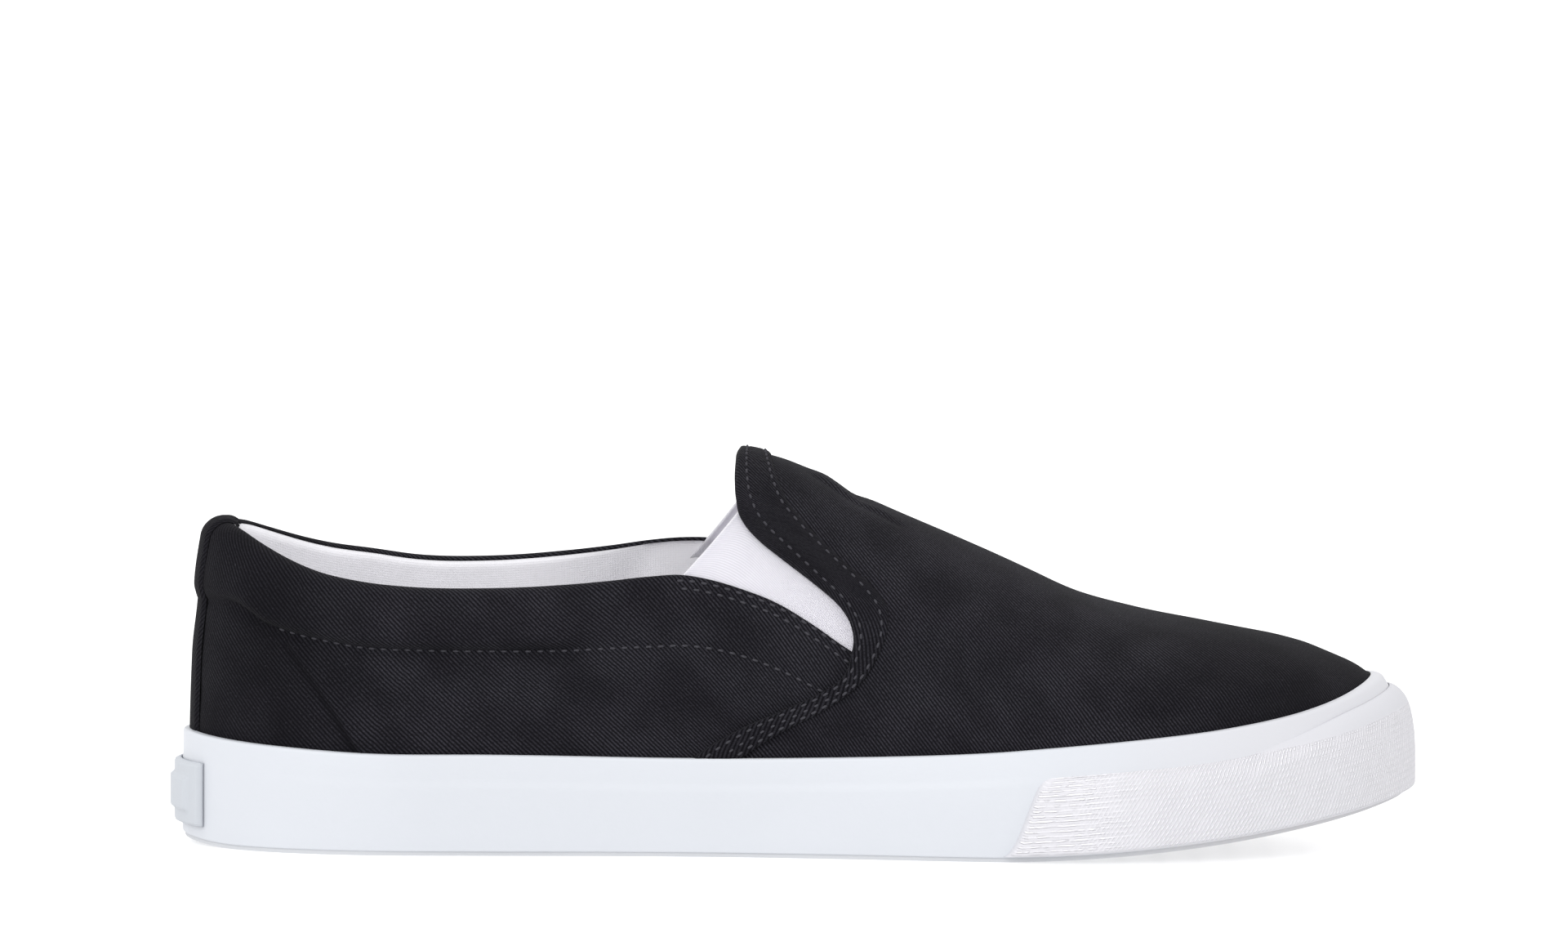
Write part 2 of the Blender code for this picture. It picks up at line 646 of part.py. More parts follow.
def grooves(cutters):
    """Bars across the tread, one for each groove, inside its smooth border."""
    shape = bmesh.new()
    for start, end in (HEEL_TREAD, BALL_TREAD):
        count = int((end - start) * UPPER_LENGTH / GROOVE_PITCH) + 1
        for share in start + np.arange(count) * GROOVE_PITCH / UPPER_LENGTH:
            turn = turn_of(share)
            x = float(outline(1, turn)[0])
            low = float(outline(-1, turn)[1]) + GROOVE_MARGIN
            high = float(outline(1, turn)[1]) - GROOVE_MARGIN
            centre = (x, (low + high) / 2, float(sole_bottom(share)))
            bar = bmesh.ops.create_cube(shape, size=1.0)["verts"]
            size = (GROOVE_WIDTH, high - low, 2 * GROOVE_DEPTH)
            bmesh.ops.scale(shape, vec=size, verts=bar)
            bmesh.ops.translate(shape, vec=np.array(centre) - CENTRE, verts=bar)
    mesh = bpy.data.meshes.new("grooves")
    shape.to_mesh(mesh)
    shape.free()
    tool = bpy.data.objects.new("grooves", mesh)
    cutters.objects.link(tool)
    hide_tool(tool)
    return tool


def build():
    for old in list(bpy.data.objects):
        bpy.data.objects.remove(old)
    shoe = bpy.data.collections.new("slip_on_sneaker")
    cutters = bpy.data.collections.new("cutters")
    bpy.context.scene.collection.children.link(shoe)
    bpy.context.scene.collection.children.link(cutters)
    outsole(shoe, cutters)
    foxing(shoe)
    toe_bumper(shoe)
    heel_label(shoe)
    upper(shoe, cutters)
    throat_band(shoe)
    heel_stay(shoe)
    gusset("gusset_lateral", -1, shoe)
    gusset("gusset_medial", 1, shoe)
    insole(shoe)


build()
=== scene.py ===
# %% [markdown]
# # A slip-on canvas sneaker
# The real shoe is dark twill sewn over a last, wrapped in white rubber tapes, with an
# elastic wedge on each side of the throat.  Its plain solids are already packed as a
# frame.  This script loads that frame and dresses it: cloth, lining, elastic, thread
# and rubber, each as a surface worked out from a formula, at the frame's own sizes.

# %% Load the frame
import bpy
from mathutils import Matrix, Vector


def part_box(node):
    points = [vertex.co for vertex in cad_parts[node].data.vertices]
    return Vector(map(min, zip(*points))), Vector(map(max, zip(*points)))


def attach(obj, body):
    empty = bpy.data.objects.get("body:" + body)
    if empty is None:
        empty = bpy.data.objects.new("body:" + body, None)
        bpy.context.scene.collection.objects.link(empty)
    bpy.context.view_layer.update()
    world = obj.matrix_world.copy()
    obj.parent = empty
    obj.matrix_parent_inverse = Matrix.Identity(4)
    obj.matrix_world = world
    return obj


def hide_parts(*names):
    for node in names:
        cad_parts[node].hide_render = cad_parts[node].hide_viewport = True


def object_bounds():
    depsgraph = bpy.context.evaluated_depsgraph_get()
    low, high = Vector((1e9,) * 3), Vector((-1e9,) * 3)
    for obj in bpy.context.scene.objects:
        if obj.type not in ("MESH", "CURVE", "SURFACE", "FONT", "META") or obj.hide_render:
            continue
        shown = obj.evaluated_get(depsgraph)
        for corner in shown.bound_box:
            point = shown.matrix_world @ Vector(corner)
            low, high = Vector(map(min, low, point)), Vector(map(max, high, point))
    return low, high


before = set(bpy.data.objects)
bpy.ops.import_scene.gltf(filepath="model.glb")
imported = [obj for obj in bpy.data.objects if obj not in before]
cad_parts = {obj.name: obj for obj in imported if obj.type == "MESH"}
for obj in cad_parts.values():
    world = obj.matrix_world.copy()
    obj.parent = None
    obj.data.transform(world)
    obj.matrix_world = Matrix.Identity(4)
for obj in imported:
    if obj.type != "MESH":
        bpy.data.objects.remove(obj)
cad_low, cad_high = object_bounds()
print("nodes", sorted(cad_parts))

# %% Libraries
from math import pi, radians

import bmesh
import bpy
import numpy as np

# %% [markdown]
# ## Camera, floor and light
# The photograph was taken from about 2 m away, 4 degrees above the level, square to
# the outer side.  A long lens keeps the sole's lines nearly straight.  The studio is
# a pale sweep: a floor so wide that it meets the white world behind it.

# %% Camera
CAMERA_DISTANCE = 2.0
CAMERA_RISE = radians(4.0)
AIM = np.array((-0.0023, 0.0, 0.0867))
FRAME_WIDTH = 0.3689              # width of the picture at the shoe
SENSOR = 36.0

eye = AIM + CAMERA_DISTANCE * np.array((0.0, -np.cos(CAMERA_RISE), np.sin(CAMERA_RISE)))
camera_data = bpy.data.cameras.new("camera")
camera_data.sensor_width = SENSOR
camera_data.lens = SENSOR * CAMERA_DISTANCE / FRAME_WIDTH
camera = bpy.data.objects.new("camera", camera_data)
camera.location = eye
camera.rotation_euler = (pi / 2 - CAMERA_RISE, 0.0, 0.0)
bpy.context.scene.collection.objects.link(camera)
bpy.context.scene.camera = camera
bpy.context.scene.view_settings.view_transform = "Standard"
print("lens", round(camera_data.lens, 1), "mm")

# %% [markdown]
# ## Shader maths
# A material's pattern is arithmetic on its coordinates.  Wiring Math nodes by hand
# hides the formula, so one small class wraps a socket and lets Python's own signs
# add the nodes.  Every other node comes from one method that takes the node's type,
# its settings and what goes into its sockets.

# %% Sockets as numbers
class Signal:
    """A socket's value; arithmetic on it adds Math nodes to its finish."""

    def __init__(self, finish, socket):
        self.finish = finish
        self.socket = socket

    def math(self, operation, *values):
        """The Math node of that name on these numbers or signals."""
        return self.finish.node("ShaderNodeMath", {"operation": operation}, dict(enumerate(values)))

    def __add__(self, other):
        return self.math("ADD", self, other)

    def __radd__(self, other):
        return self.math("ADD", other, self)

    def __sub__(self, other):
        return self.math("SUBTRACT", self, other)

    def __rsub__(self, other):
        return self.math("SUBTRACT", other, self)

    def __mul__(self, other):
        return self.math("MULTIPLY", self, other)

    def __rmul__(self, other):
        return self.math("MULTIPLY", other, self)

    def wave(self, period):
        """A sine between 0 and 1 that repeats after the period."""
        return self.math("SINE", self * (2 * pi / period)) * 0.5 + 0.5

    def between(self, low, high):
        """Soft step from 0 at low to 1 at high."""
        settings = {"interpolation_type": "SMOOTHSTEP"}
        return self.finish.node("ShaderNodeMapRange", settings, {"Value": self, 1: low, 2: high})


print("sockets can be added, subtracted and multiplied")

# %% A finish
class Finish:
    """A material under construction round one Principled shader."""

    def __init__(self, name, roughness, specular, **constants):
        self.material = bpy.data.materials.new(name)
        self.material.use_nodes = True
        self.tree = self.material.node_tree
        self.shader = self.tree.nodes["Principled BSDF"]
        self.shader.inputs["Roughness"].default_value = roughness
        self.shader.inputs["Specular IOR Level"].default_value = specular
        for socket, value in constants.items():
            self.shader.inputs[socket.replace("_", " ").title()].default_value = value

    def node(self, kind, settings, inputs, out=0):
        """Add a node, set its settings first, then its sockets' values or links."""
        made = self.tree.nodes.new(kind)
        for key, value in settings.items():
            setattr(made, key, value)
        for key, value in inputs.items():
            self.feed(made.inputs[key], value)
        return Signal(self, made.outputs[out])

    def feed(self, socket, value):
        if isinstance(value, Signal):
            self.tree.links.new(value.socket, socket)
        else:
            socket.default_value = value

    def uv(self):
        """The piece's own coordinates in metres: along it and across it."""
        cloth = self.node("ShaderNodeUVMap", {"uv_map": "UVMap"}, {})
        return [self.node("ShaderNodeSeparateXYZ", {}, {0: cloth}, out) for out in (0, 1)]

    def place(self):
        """Object coordinates as one vector."""
        return self.node("ShaderNodeTexCoord", {}, {}, "Object")

    def along_shoe(self):
        """Distance along the shoe from its middle, towards the toe."""
        return self.node("ShaderNodeSeparateXYZ", {}, {0: self.place()})

    def mark(self, name):
        """A value that the mesh keeps for each of its points."""
        return self.node("ShaderNodeAttribute", {"attribute_name": name}, {}, "Fac")

    def join(self, x, y, z=0.0):
        return self.node("ShaderNodeCombineXYZ", {}, {0: x, 1: y, 2: z})

    def noise(self, size, vector, detail=2.0):
        """Noise between 0 and 1 whose features are about size metres wide."""
        inputs = {"Vector": vector, "Scale": 1 / size, "Detail": detail}
        return self.node("ShaderNodeTexNoise", {}, inputs)

    def blend(self, factor, first, second):
        """Mix of two colours."""
        return self.node("ShaderNodeMix", {"data_type": "RGBA"}, {0: factor, 6: first, 7: second}, 2)

    def colour(self, value):
        self.feed(self.shader.inputs["Base Color"], value)

    def bump(self, height, depth, strength=1.0):
        """Relief of that depth in metres, on top of any relief given before."""
        inputs = {"Height": height, "Distance": depth, "Strength": strength}
        normal = self.shader.inputs["Normal"]
        if normal.is_linked:
            inputs["Normal"] = Signal(self, normal.links[0].from_socket)
        self.feed(normal, self.node("ShaderNodeBump", {}, inputs))


def paint(red, green, blue):
    """A colour as a picture shows it, 0 to 255, turned into the shader's linear numbers."""
    shown = np.array((red, green, blue)) / 255
    linear = np.where(shown <= 0.04045, shown / 12.92, ((shown + 0.055) / 1.055) ** 2.4)
    return (*linear.tolist(), 1.0)


print("white paper is", round(paint(240, 240, 240)[0], 2), "in linear numbers")

# %% [markdown]
# ## Floor and lamps
# A floor could be a box or a curved backdrop.  One large plane is enough here, if it
# looks exactly as white as the world behind it.  Lamps near the shoe would fade over
# the floor and draw a horizon, so the lamps are soft suns, which light all of it
# alike.  The photograph shows almost no shadow, as on a satin sheet that is also lit
# from below, so the sheet glows a little itself.

# %% Floor and lamps
FLOOR_SIZE = 400.0
WORLD = 1.06
SUNS = [
    # name, tilt from the vertical, heading from the front, angle, strength
    ("overhead", 25.0, -30.0, 60.0, 0.28),
    ("front", 62.0, -30.0, 40.0, 0.80),
    ("toe_side", 70.0, 65.0, 30.0, 0.06),
]
PAPER = 0.58
GLOW = 0.47                       # light that the sheet gives off by itself

floor_mesh = bpy.data.meshes.new("floor")
half = FLOOR_SIZE / 2
floor_corners = [(-half, -half, 0), (half, -half, 0), (half, half, 0), (-half, half, 0)]
floor_mesh.from_pydata(floor_corners, [], [(0, 1, 2, 3)])
floor = bpy.data.objects.new("floor", floor_mesh)
white = (1.0, 1.0, 1.0, 1.0)
floor_finish = Finish("floor_paper", 0.20, 0.50, emission_color=white, emission_strength=GLOW)
floor_finish.colour((PAPER, PAPER, PAPER, 1.0))
floor_mesh.materials.append(floor_finish.material)
bpy.context.scene.collection.objects.link(floor)

for sun_name, tilt, heading, angle, strength in SUNS:
    sun_data = bpy.data.lights.new(sun_name, "SUN")
    sun_data.angle = radians(angle)
    sun_data.energy = strength
    sun = bpy.data.objects.new(sun_name, sun_data)
    sun.rotation_euler = (radians(tilt), 0.0, radians(heading))
    bpy.context.scene.collection.objects.link(sun)

world = bpy.data.worlds.new("studio")
world.use_nodes = True
world.node_tree.nodes["Background"].inputs["Color"].default_value = (WORLD, WORLD, WORLD, 1.0)
world.node_tree.nodes["Background"].inputs["Strength"].default_value = 1.0
bpy.context.scene.world = world
print("suns", [row[0] for row in SUNS], "paper", PAPER)

# %% [markdown]
# ## The last
# Every piece of a shoe follows its last.  Here the last is one function: from each
# point of the sole's outline a rounded rib climbs to the ridge.  `turn` runs from 0 at
# the heel to 1 at the toe, `lift` from 0 at the sole to 1 on the ridge, and side is
# -1 outside and +1 inside.  The tables are shares of the named sizes, so the cloth
# here and the solids of the frame come from the same form.

# %% Driving sizes
LENGTH = cad_high[0] - cad_low[0]
BALL_WIDTH = 0.100
INSTEP_HEIGHT = 0.0923
HEEL_HEIGHT = 0.0755
FOXING_HEIGHT = 0.0235
TOE_SPRING = 0.0110
HEEL_SPRING = 0.0012
WALL = 0.0019
PADDING = 0.0080
SOLE = 0.0065
INSOLE = 0.0060
FOXING = 0.0020
BUMPER = 0.0017
LABEL_PLATE = 0.0016
LABEL_RISE = 0.0010
BAND = 0.0008
STAY = 0.0005
GAP = 0.0003
SOLE_LIP = 0.0010
TAPE_DEPTH = 0.0063
TAPE_STEP = 0.0004
VAMP_PROUD = 0.0006
VAMP_LAP = 0.0085
VAMP_RAMP = 0.0040
VAMP_START = 0.0035
BAND_WIDTH = 0.0075
STAY_WIDTH = 0.020
GUSSET_TUCK = 0.0060
LABEL_WIDTH = 0.032
LABEL_LOW = 0.0045
LABEL_HIGH = 0.0195
LABEL_BORDER = 0.0036
CREASE_DENT = 0.0006
PAD_RAMP = 0.0050

print("rubber side", FOXING_HEIGHT * 1000, "mm at the waist; wall", WALL * 1000, "mm")

# %% Sections of the last
SECTIONS = np.array([
    # share, lateral, medial, crown, fullness, ridge
    (0.000, 0.000, 0.000, 1.170, 2.00, 0.00),
    (0.030, 0.192, 0.192, 1.170, 2.00, 0.00),
    (0.080, 0.290, 0.290, 1.170, 2.00, 0.00),
    (0.150, 0.345, 0.342, 1.170, 2.00, 0.00),
    (0.250, 0.357, 0.352, 1.170, 2.00, 0.00),
    (0.350, 0.363, 0.340, 1.100, 2.10, 0.01),
    (0.450, 0.384, 0.332, 0.994, 2.25, 0.02),
    (0.490, 0.400, 0.340, 0.964, 2.25, 0.02),
    (0.550, 0.428, 0.366, 0.874, 2.20, 0.03),
    (0.630, 0.470, 0.420, 0.768, 2.20, 0.03),
    (0.690, 0.494, 0.465, 0.681, 2.25, 0.03),
    (0.730, 0.500, 0.486, 0.626, 2.30, 0.03),
    (0.780, 0.491, 0.500, 0.581, 2.40, 0.04),
    (0.840, 0.453, 0.492, 0.545, 2.50, 0.04),
    (0.890, 0.387, 0.462, 0.515, 2.65, 0.05),
    (0.940, 0.282, 0.398, 0.486, 2.80, 0.05),
    (0.980, 0.130, 0.290, 0.483, 2.80, 0.06),
    (1.000, -0.070, 0.070, 0.483, 2.80, 0.06),
])
print(len(SECTIONS), "sections from heel to toe")

# %% Lines of the collar, the throat and the tape
COLLAR = np.array([
    # share, lateral, medial, crease, padding
    (0.000, 1.000, 1.000, 0.710, 1.00),
    (0.025, 0.972, 0.985, 0.707, 0.97),
    (0.045, 0.940, 0.963, 0.702, 0.93),
    (0.070, 0.902, 0.936, 0.691, 0.86),
    (0.105, 0.858, 0.905, 0.668, 0.79),
    (0.145, 0.830, 0.883, 0.643, 0.73),
    (0.185, 0.816, 0.862, 0.632, 0.70),
    (0.250, 0.812, 0.858, 0.628, 0.68),
    (0.315, 0.823, 0.876, 0.630, 0.55),
    (0.350, 0.835, 0.891, 0.637, 0.30),
    (0.385, 0.850, 0.909, 0.643, 0.00),
    (0.410, 0.855, 0.917, 0.646, 0.00),
    (0.435, 0.840, 0.915, 0.635, 0.00),
    (0.460, 0.813, 0.893, 0.612, 0.00),
    (0.490, 0.770, 0.838, 0.570, 0.00),
    (0.518, 0.709, 0.765, 0.518, 0.00),
    (0.545, 0.640, 0.690, 0.470, 0.00),
    (0.580, 0.560, 0.605, 0.410, 0.00),
])
THROAT = np.array([
    # lift, edge, band
    (0.000, 0.3750, 1.50),
    (0.106, 0.4253, 1.36),
    (0.140, 0.4519, 1.25),
    (0.186, 0.4916, 0.90),
    (0.227, 0.5181, 0.66),
    (0.275, 0.5379, 0.56),
    (0.335, 0.5465, 0.70),
    (0.385, 0.5482, 0.90),
    (0.421, 0.5440, 1.16),
    (0.455, 0.5330, 1.60),
    (0.480, 0.5177, 2.15),
    (0.503, 0.5012, 2.60),
    (0.535, 0.4830, 2.85),
    (0.573, 0.4681, 2.58),
    (0.610, 0.4595, 2.20),
    (0.671, 0.4545, 1.60),
    (0.745, 0.4528, 1.30),
    (0.860, 0.4530, 1.05),
    (1.000, 0.4547, 0.84),
])
FOXING_TOP = np.array([
    # share, height
    (0.000, 1.125),
    (0.035, 1.085),
    (0.085, 1.045),
    (0.150, 1.003),
    (0.250, 0.995),
    (0.450, 0.972),
    (0.520, 0.990),
    (0.585, 1.016),
    (0.650, 1.055),
    (0.716, 1.120),
    (0.782, 1.189),
    (0.850, 1.272),
    (0.920, 1.401),
    (0.960, 1.508),
    (1.000, 1.640),
])
HEEL_FAN = 0.045
HEEL_FAN_END = 0.25
TOE_FAN = 0.115
TOE_FAN_START = 0.62
SPRING_START = 0.655
SPRING_POWER = 1.8
HEEL_SPRING_END = 0.05
BUMPER_LOW = 0.668
BUMPER_HIGH = 0.706
BAND_FOOT = 0.13
GUSSET_LIFT = (0.79, 0.42)
GUSSET_SHARE = (0.400, 0.556)
LAST_HEEL = 0.15

HEEL_X = LABEL_RISE + LABEL_PLATE + GAP + FOXING + GAP
UPPER_LENGTH = LENGTH - BUMPER - GAP - FOXING - GAP - HEEL_X
TAPE_GROW = GAP + FOXING
BUMPER_GROW = TAPE_GROW + GAP
print("length of the upper", round(UPPER_LENGTH * 1000, 1), "mm")

# %% Curves
def smooth(knots, values, at):
    """Cubic curve through the knots; its slope at a knot comes from the neighbours."""
    slopes = np.gradient(values, knots)
    at = np.clip(at, knots[0], knots[-1])
    i = np.clip(np.searchsorted(knots, at, side="right") - 1, 0, len(knots) - 2)
    width = knots[i + 1] - knots[i]
    f = (at - knots[i]) / width
    ends = (1 + 2 * f) * (1 - f) ** 2 * values[i] + f * f * (3 - 2 * f) * values[i + 1]
    return ends + width * f * (1 - f) * ((1 - f) * slopes[i] - f * slopes[i + 1])


def through(points, steps):
    """A smooth line through given pairs, as two rows of values."""
    points = np.array(points)
    knots = np.arange(len(points), dtype=float)
    at = np.linspace(0, knots[-1], steps)
    return smooth(knots, points[:, 0], at), smooth(knots, points[:, 1], at)


def ramp(f):
    """Soft step from 0 to 1."""
    f = np.clip(f, 0, 1)
    return f * f * (3 - 2 * f)


def rounding(f):
    """Quarter circle from 0, where it is upright, to a level 1."""
    return np.sqrt(1 - (1 - np.clip(f, 0, 1)) ** 2)


def turn_of(share):
    return np.arccos(1 - 2 * np.asarray(share)) / pi


def share_of(turn):
    return (1 - np.cos(pi * np.asarray(turn))) / 2


print("a soft step is", ramp(0.25), "after a quarter of its way")

# %% The form
def outline(side, turn):
    """Plan of the upper at the sole: half widths read along the length."""
    turns = turn_of(SECTIONS[:, 0])
    lateral = smooth(turns, SECTIONS[:, 1], turn)
    medial = smooth(turns, SECTIONS[:, 2], turn)
    half = np.where(np.asarray(side) < 0, lateral, medial) * BALL_WIDTH
    return HEEL_X + UPPER_LENGTH * share_of(turn), side * half


def sole_bottom(share):
    """Underside of the sole: flat from heel to ball, sprung at the toe."""
    toe = np.clip((share - SPRING_START) / (1 - SPRING_START), 0, 1)
    heel = np.clip(1 - share / HEEL_SPRING_END, 0, 1)
    return TOE_SPRING * toe ** SPRING_POWER + HEEL_SPRING * heel ** 2


def feather(share):
    """Height of the upper's lower edge."""
    return sole_bottom(share) + SOLE + GAP


def foxing_top(share):
    return FOXING_HEIGHT * smooth(FOXING_TOP[:, 0], FOXING_TOP[:, 1], share)


def crown_at(x):
    share = (x - HEEL_X) / UPPER_LENGTH
    return INSTEP_HEIGHT * smooth(SECTIONS[:, 0], SECTIONS[:, 3], share)


def form(side, turn, lift):
    """Surface of the last: each rib is a superellipse from the outline to the ridge."""
    share = share_of(turn)
    x, y = outline(side, turn)
    power = 2 / smooth(SECTIONS[:, 0], SECTIONS[:, 4], share)
    rise = np.sin(lift * pi / 2) ** power
    inward = 1 - np.maximum(np.cos(lift * pi / 2), 0) ** power
    lean = HEEL_FAN * np.clip(1 - share / HEEL_FAN_END, 0, 1) ** 2
    lean = lean - TOE_FAN * np.clip((share - TOE_FAN_START) / (1 - TOE_FAN_START), 0, 1) ** 2
    ridge = BALL_WIDTH * smooth(SECTIONS[:, 0], SECTIONS[:, 5], share + lean)
    x = x + (HEEL_X + UPPER_LENGTH * (share + lean) - x) * inward
    y = y + (ridge - y) * inward
    low = feather(share)
    return np.stack(np.broadcast_arrays(x, y, low + (crown_at(x) - low) * rise), axis=-1)


print("the form is", np.round(form(-1, 0.5, 1.0)[2] * 1000, 1), "mm high at its middle")

# %% Points on the form
SMALL = 0.001                     # step for slopes
HEIGHT_ROUNDS = 5                 # rounds that find the lift of a height


def normal(side, turn, lift):
    """Outward unit normal of the form, from small steps both ways."""
    turn = np.clip(turn, SMALL, 1 - SMALL)
    lift = np.clip(lift, SMALL, 1 - SMALL)
    along = form(side, turn + SMALL, lift) - form(side, turn - SMALL, lift)
    up = form(side, turn, lift + SMALL) - form(side, turn, lift - SMALL)
    across = np.cross(along, up) * -np.asarray(side, float)[..., None]
    return across / np.linalg.norm(across, axis=-1, keepdims=True)


def skin(side, turn, lift, grow):
    """The form grown outwards by a distance that may vary."""
    side, turn, lift, grow = np.broadcast_arrays(side, turn, lift, grow)
    return form(side, turn, lift) + grow[..., None] * normal(side, turn, lift)


def lift_at(side, turn, height):
    """Lift at which a rib reaches a height; the crown's height is met in a few rounds."""
    share = share_of(turn)
    fullness = smooth(SECTIONS[:, 0], SECTIONS[:, 4], share)
    low = feather(share)
    lift = np.full(np.broadcast(side, turn, height).shape, 0.3)
    for _ in range(HEIGHT_ROUNDS):
        crown = crown_at(form(side, turn, lift)[..., 0])
        rise = np.clip((height - low) / (crown - low), 0, 1)
        lift = np.arcsin(rise ** (fullness / 2)) * 2 / pi
    return lift


def at_height(side, turn, height, grow):
    """Point at a height, moved level so that it lies grow away from the form."""
    side, turn, height, grow = np.broadcast_arrays(side, turn, height, grow)
    lift = lift_at(side, turn, height)
    point = form(side, turn, lift)
    level = normal(side, turn, lift)[..., :2]
    point[..., :2] += level * (grow / np.sum(level ** 2, axis=-1))[..., None]
    point[..., 2] = height
    return point


def turn_at_reach(side, reach):
    """Turn near the heel where the outline is this far from the centre line."""
    turns = np.linspace(0, turn_of(LAST_HEEL), 60)
    return np.interp(reach, np.abs(outline(side, turns)[1]), turns)


# %% Where the form stands
all_turns = np.linspace(0, 1, 2001)
CENTRE_Y = (outline(-1, all_turns)[1].min() + outline(1, all_turns)[1].max()) / 2
CENTRE = np.array((LENGTH / 2, CENTRE_Y, 0.0))
fit = np.array(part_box("upper")[0]) - (np.array((HEEL_X, 0, 0)) - CENTRE)
print("the form starts", round(float(fit[0]) * 1000, 2), "mm from the frame's upper")

# %% [markdown]
# ## Bodies from loops
# Almost every piece is a closed section carried along a path: a wall, a strip or a
# ring of tape.  One function turns an array of loops into a closed mesh.  It also
# measures the cloth: its UV map holds real metres along and across, so that the weave
# keeps its scale on every piece.

# %% Closed bodies
MERGE = 1e-6                      # points closer than this are one


def new_piece(name, mesh, finish, nodes):
    """An object at the origin that rides with the shoe and stands for frame nodes."""
    mesh.materials.append(finish.material)
    mesh.shade_smooth()
    piece = bpy.data.objects.new(name, mesh)
    bpy.context.scene.collection.objects.link(piece)
    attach(piece, "root")
    if nodes:
        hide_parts(*nodes)
    print(name, len(mesh.polygons), "faces")
    return piece


def cloth_places(loops, along, rows):
    """UV of every point, with the first column again at the end of each loop.

    along holds u for each loop or each point, and v is then the distance round the
    loop; or it holds both for each point.
    """
    count, size = loops.shape[:2]
    if np.ndim(along) == 3:
        return np.concatenate((along, along[:, :1]), axis=1)
    steps = np.linalg.norm(np.roll(loops, -1, axis=1) - loops, axis=-1)
    v = np.concatenate((np.zeros((count, 1)), np.cumsum(steps, axis=1)), axis=1)
    u = along if np.ndim(along) == 2 else np.repeat(along[:, None], size, 1)
    u = np.concatenate((u, u[:, :1]), axis=1)
    return np.stack((u, v[np.arange(rows + 1) % count]), axis=-1)


def body(name, loops, along, finish, nodes=(), ring=False, folded=False, sharp=None, marks=None):
    """Closed body through closed loops of points, array (loop, point, xyz).

    along gives the cloth's coordinates.  A ring closes on itself.  Otherwise the two
    ends are closed from one half of the loop to the other, unless the last loop is
    folded flat.  marks are values for each point that a finish can read by name.
    """
    count, size = loops.shape[:2]
    rows = count if ring else count - 1
    uv = cloth_places(loops, along, rows)
    i, j = np.meshgrid(np.arange(rows), np.arange(size), indexing="ij")
    corners = [(i, j), (i, j + 1), (i + 1, j + 1), (i + 1, j)]
    faces = np.stack([(a % count) * size + b % size for a, b in corners], axis=-1).reshape(-1, 4)
    places = np.stack([uv[a, b] for a, b in corners], axis=-2).reshape(-1, 2)
    if not ring:
        half = size // 2
        k = np.arange(half - 1)
        for row in [0] if folded else [0, count - 1]:
            ends = [(row, k), (row, k + 1), (row, size - 2 - k), (row, size - 1 - k)]
            faces = np.concatenate((faces, np.stack([a * size + b for a, b in ends], axis=-1)))
            places = np.concatenate((places, np.stack([uv[a, b] for a, b in ends], axis=-2).reshape(-1, 2)))
    mesh = bpy.data.meshes.new(name)
    mesh.from_pydata((loops.reshape(-1, 3) - CENTRE).tolist(), [], faces.tolist())
    layer = mesh.uv_layers.new(name="UVMap")
    layer.data.foreach_set("uv", places.astype(np.float32).ravel())
    for key, values in (marks or {}).items():
        mark = mesh.attributes.new(key, "FLOAT", "POINT")
        mark.data.foreach_set("value", values.astype(np.float32).ravel())
    shape = bmesh.new()
    shape.from_mesh(mesh)
    bmesh.ops.remove_doubles(shape, verts=shape.verts, dist=MERGE)
    bmesh.ops.dissolve_degenerate(shape, edges=shape.edges, dist=MERGE / 10)
    bmesh.ops.recalc_face_normals(shape, faces=shape.faces)
    shape.to_mesh(mesh)
    shape.free()
    piece = new_piece(name, mesh, finish, nodes)
    if sharp:
        mesh.set_sharp_from_angle(angle=sharp)
    return piece


print("bodies are closed from loops")

# %% Paths and unevenness
def travelled(points):
    """Distance along a row of points, starting from 0."""
    steps = np.linalg.norm(np.diff(points, axis=0), axis=-1)
    return np.concatenate(([0.0], np.cumsum(steps)))


def read_at(at, run, values):
    """Three-part values along a row, read at given distances."""
    return np.stack([np.interp(at, run, values[:, k]) for k in range(3)], axis=-1)


def there_and_back(outer, inner):
    """One closed loop at each station: over the outer face and back along the inner one."""
    return np.concatenate((outer, inner[:, ::-1]), axis=1)


def around_end(steps):
    """Sides and distances from one end of the shoe, from lateral round it to medial."""
    away = np.linspace(-1, 1, 2 * steps + 1)
    return np.where(away < 0, -1, 1), np.abs(away)


def ring_stations(steps):
    """Sides and turns once round the whole outline."""
    turns = np.linspace(0, 1, steps + 1)
    side = np.concatenate((np.full(steps, -1), np.full(steps, 1)))
    return side, np.concatenate((turns[:-1], turns[:0:-1]))


def waves(points, length, depth):
    """Soft unevenness of handmade cloth: three crossed sines of about that wavelength."""
    x, y, z = np.moveaxis(points, -1, 0) * (2 * pi / length)
    mixed = np.sin(x + 0.6 * z) + np.sin(0.7 * x - 1.3 * z + y) + np.sin(1.9 * z + 0.4 * x - 0.8 * y)
    return depth * mixed / 3


def nearness(points, path, width):
    """1 on a path and falling to 0 within about two widths, as a bell curve."""
    closest = np.full(points.shape[:-1], 1.0)
    for place in path:
        closest = np.minimum(closest, np.sum((points - place) ** 2, axis=-1))
    return np.exp(-closest / width ** 2)


print("half the outline is", round(travelled(form(-1, all_turns, 0.0))[-1] * 1000), "mm long")

# %% [markdown]
# ## Cloth
# The upper is cotton twill, nearly black with a touch of blue.  Its diagonal ribs are
# about 0.8 mm apart and fall towards the toe on the outer side.  Modelling threads
# would take millions of faces, so the weave is relief in the shader: a rib pattern
# from the cloth's own coordinates, broken by the threads across it and by slow noise.
# The ribs stand out most along the middle of the shoe and fade over the stiffened
# heel and toe, where the cloth is pulled tight.

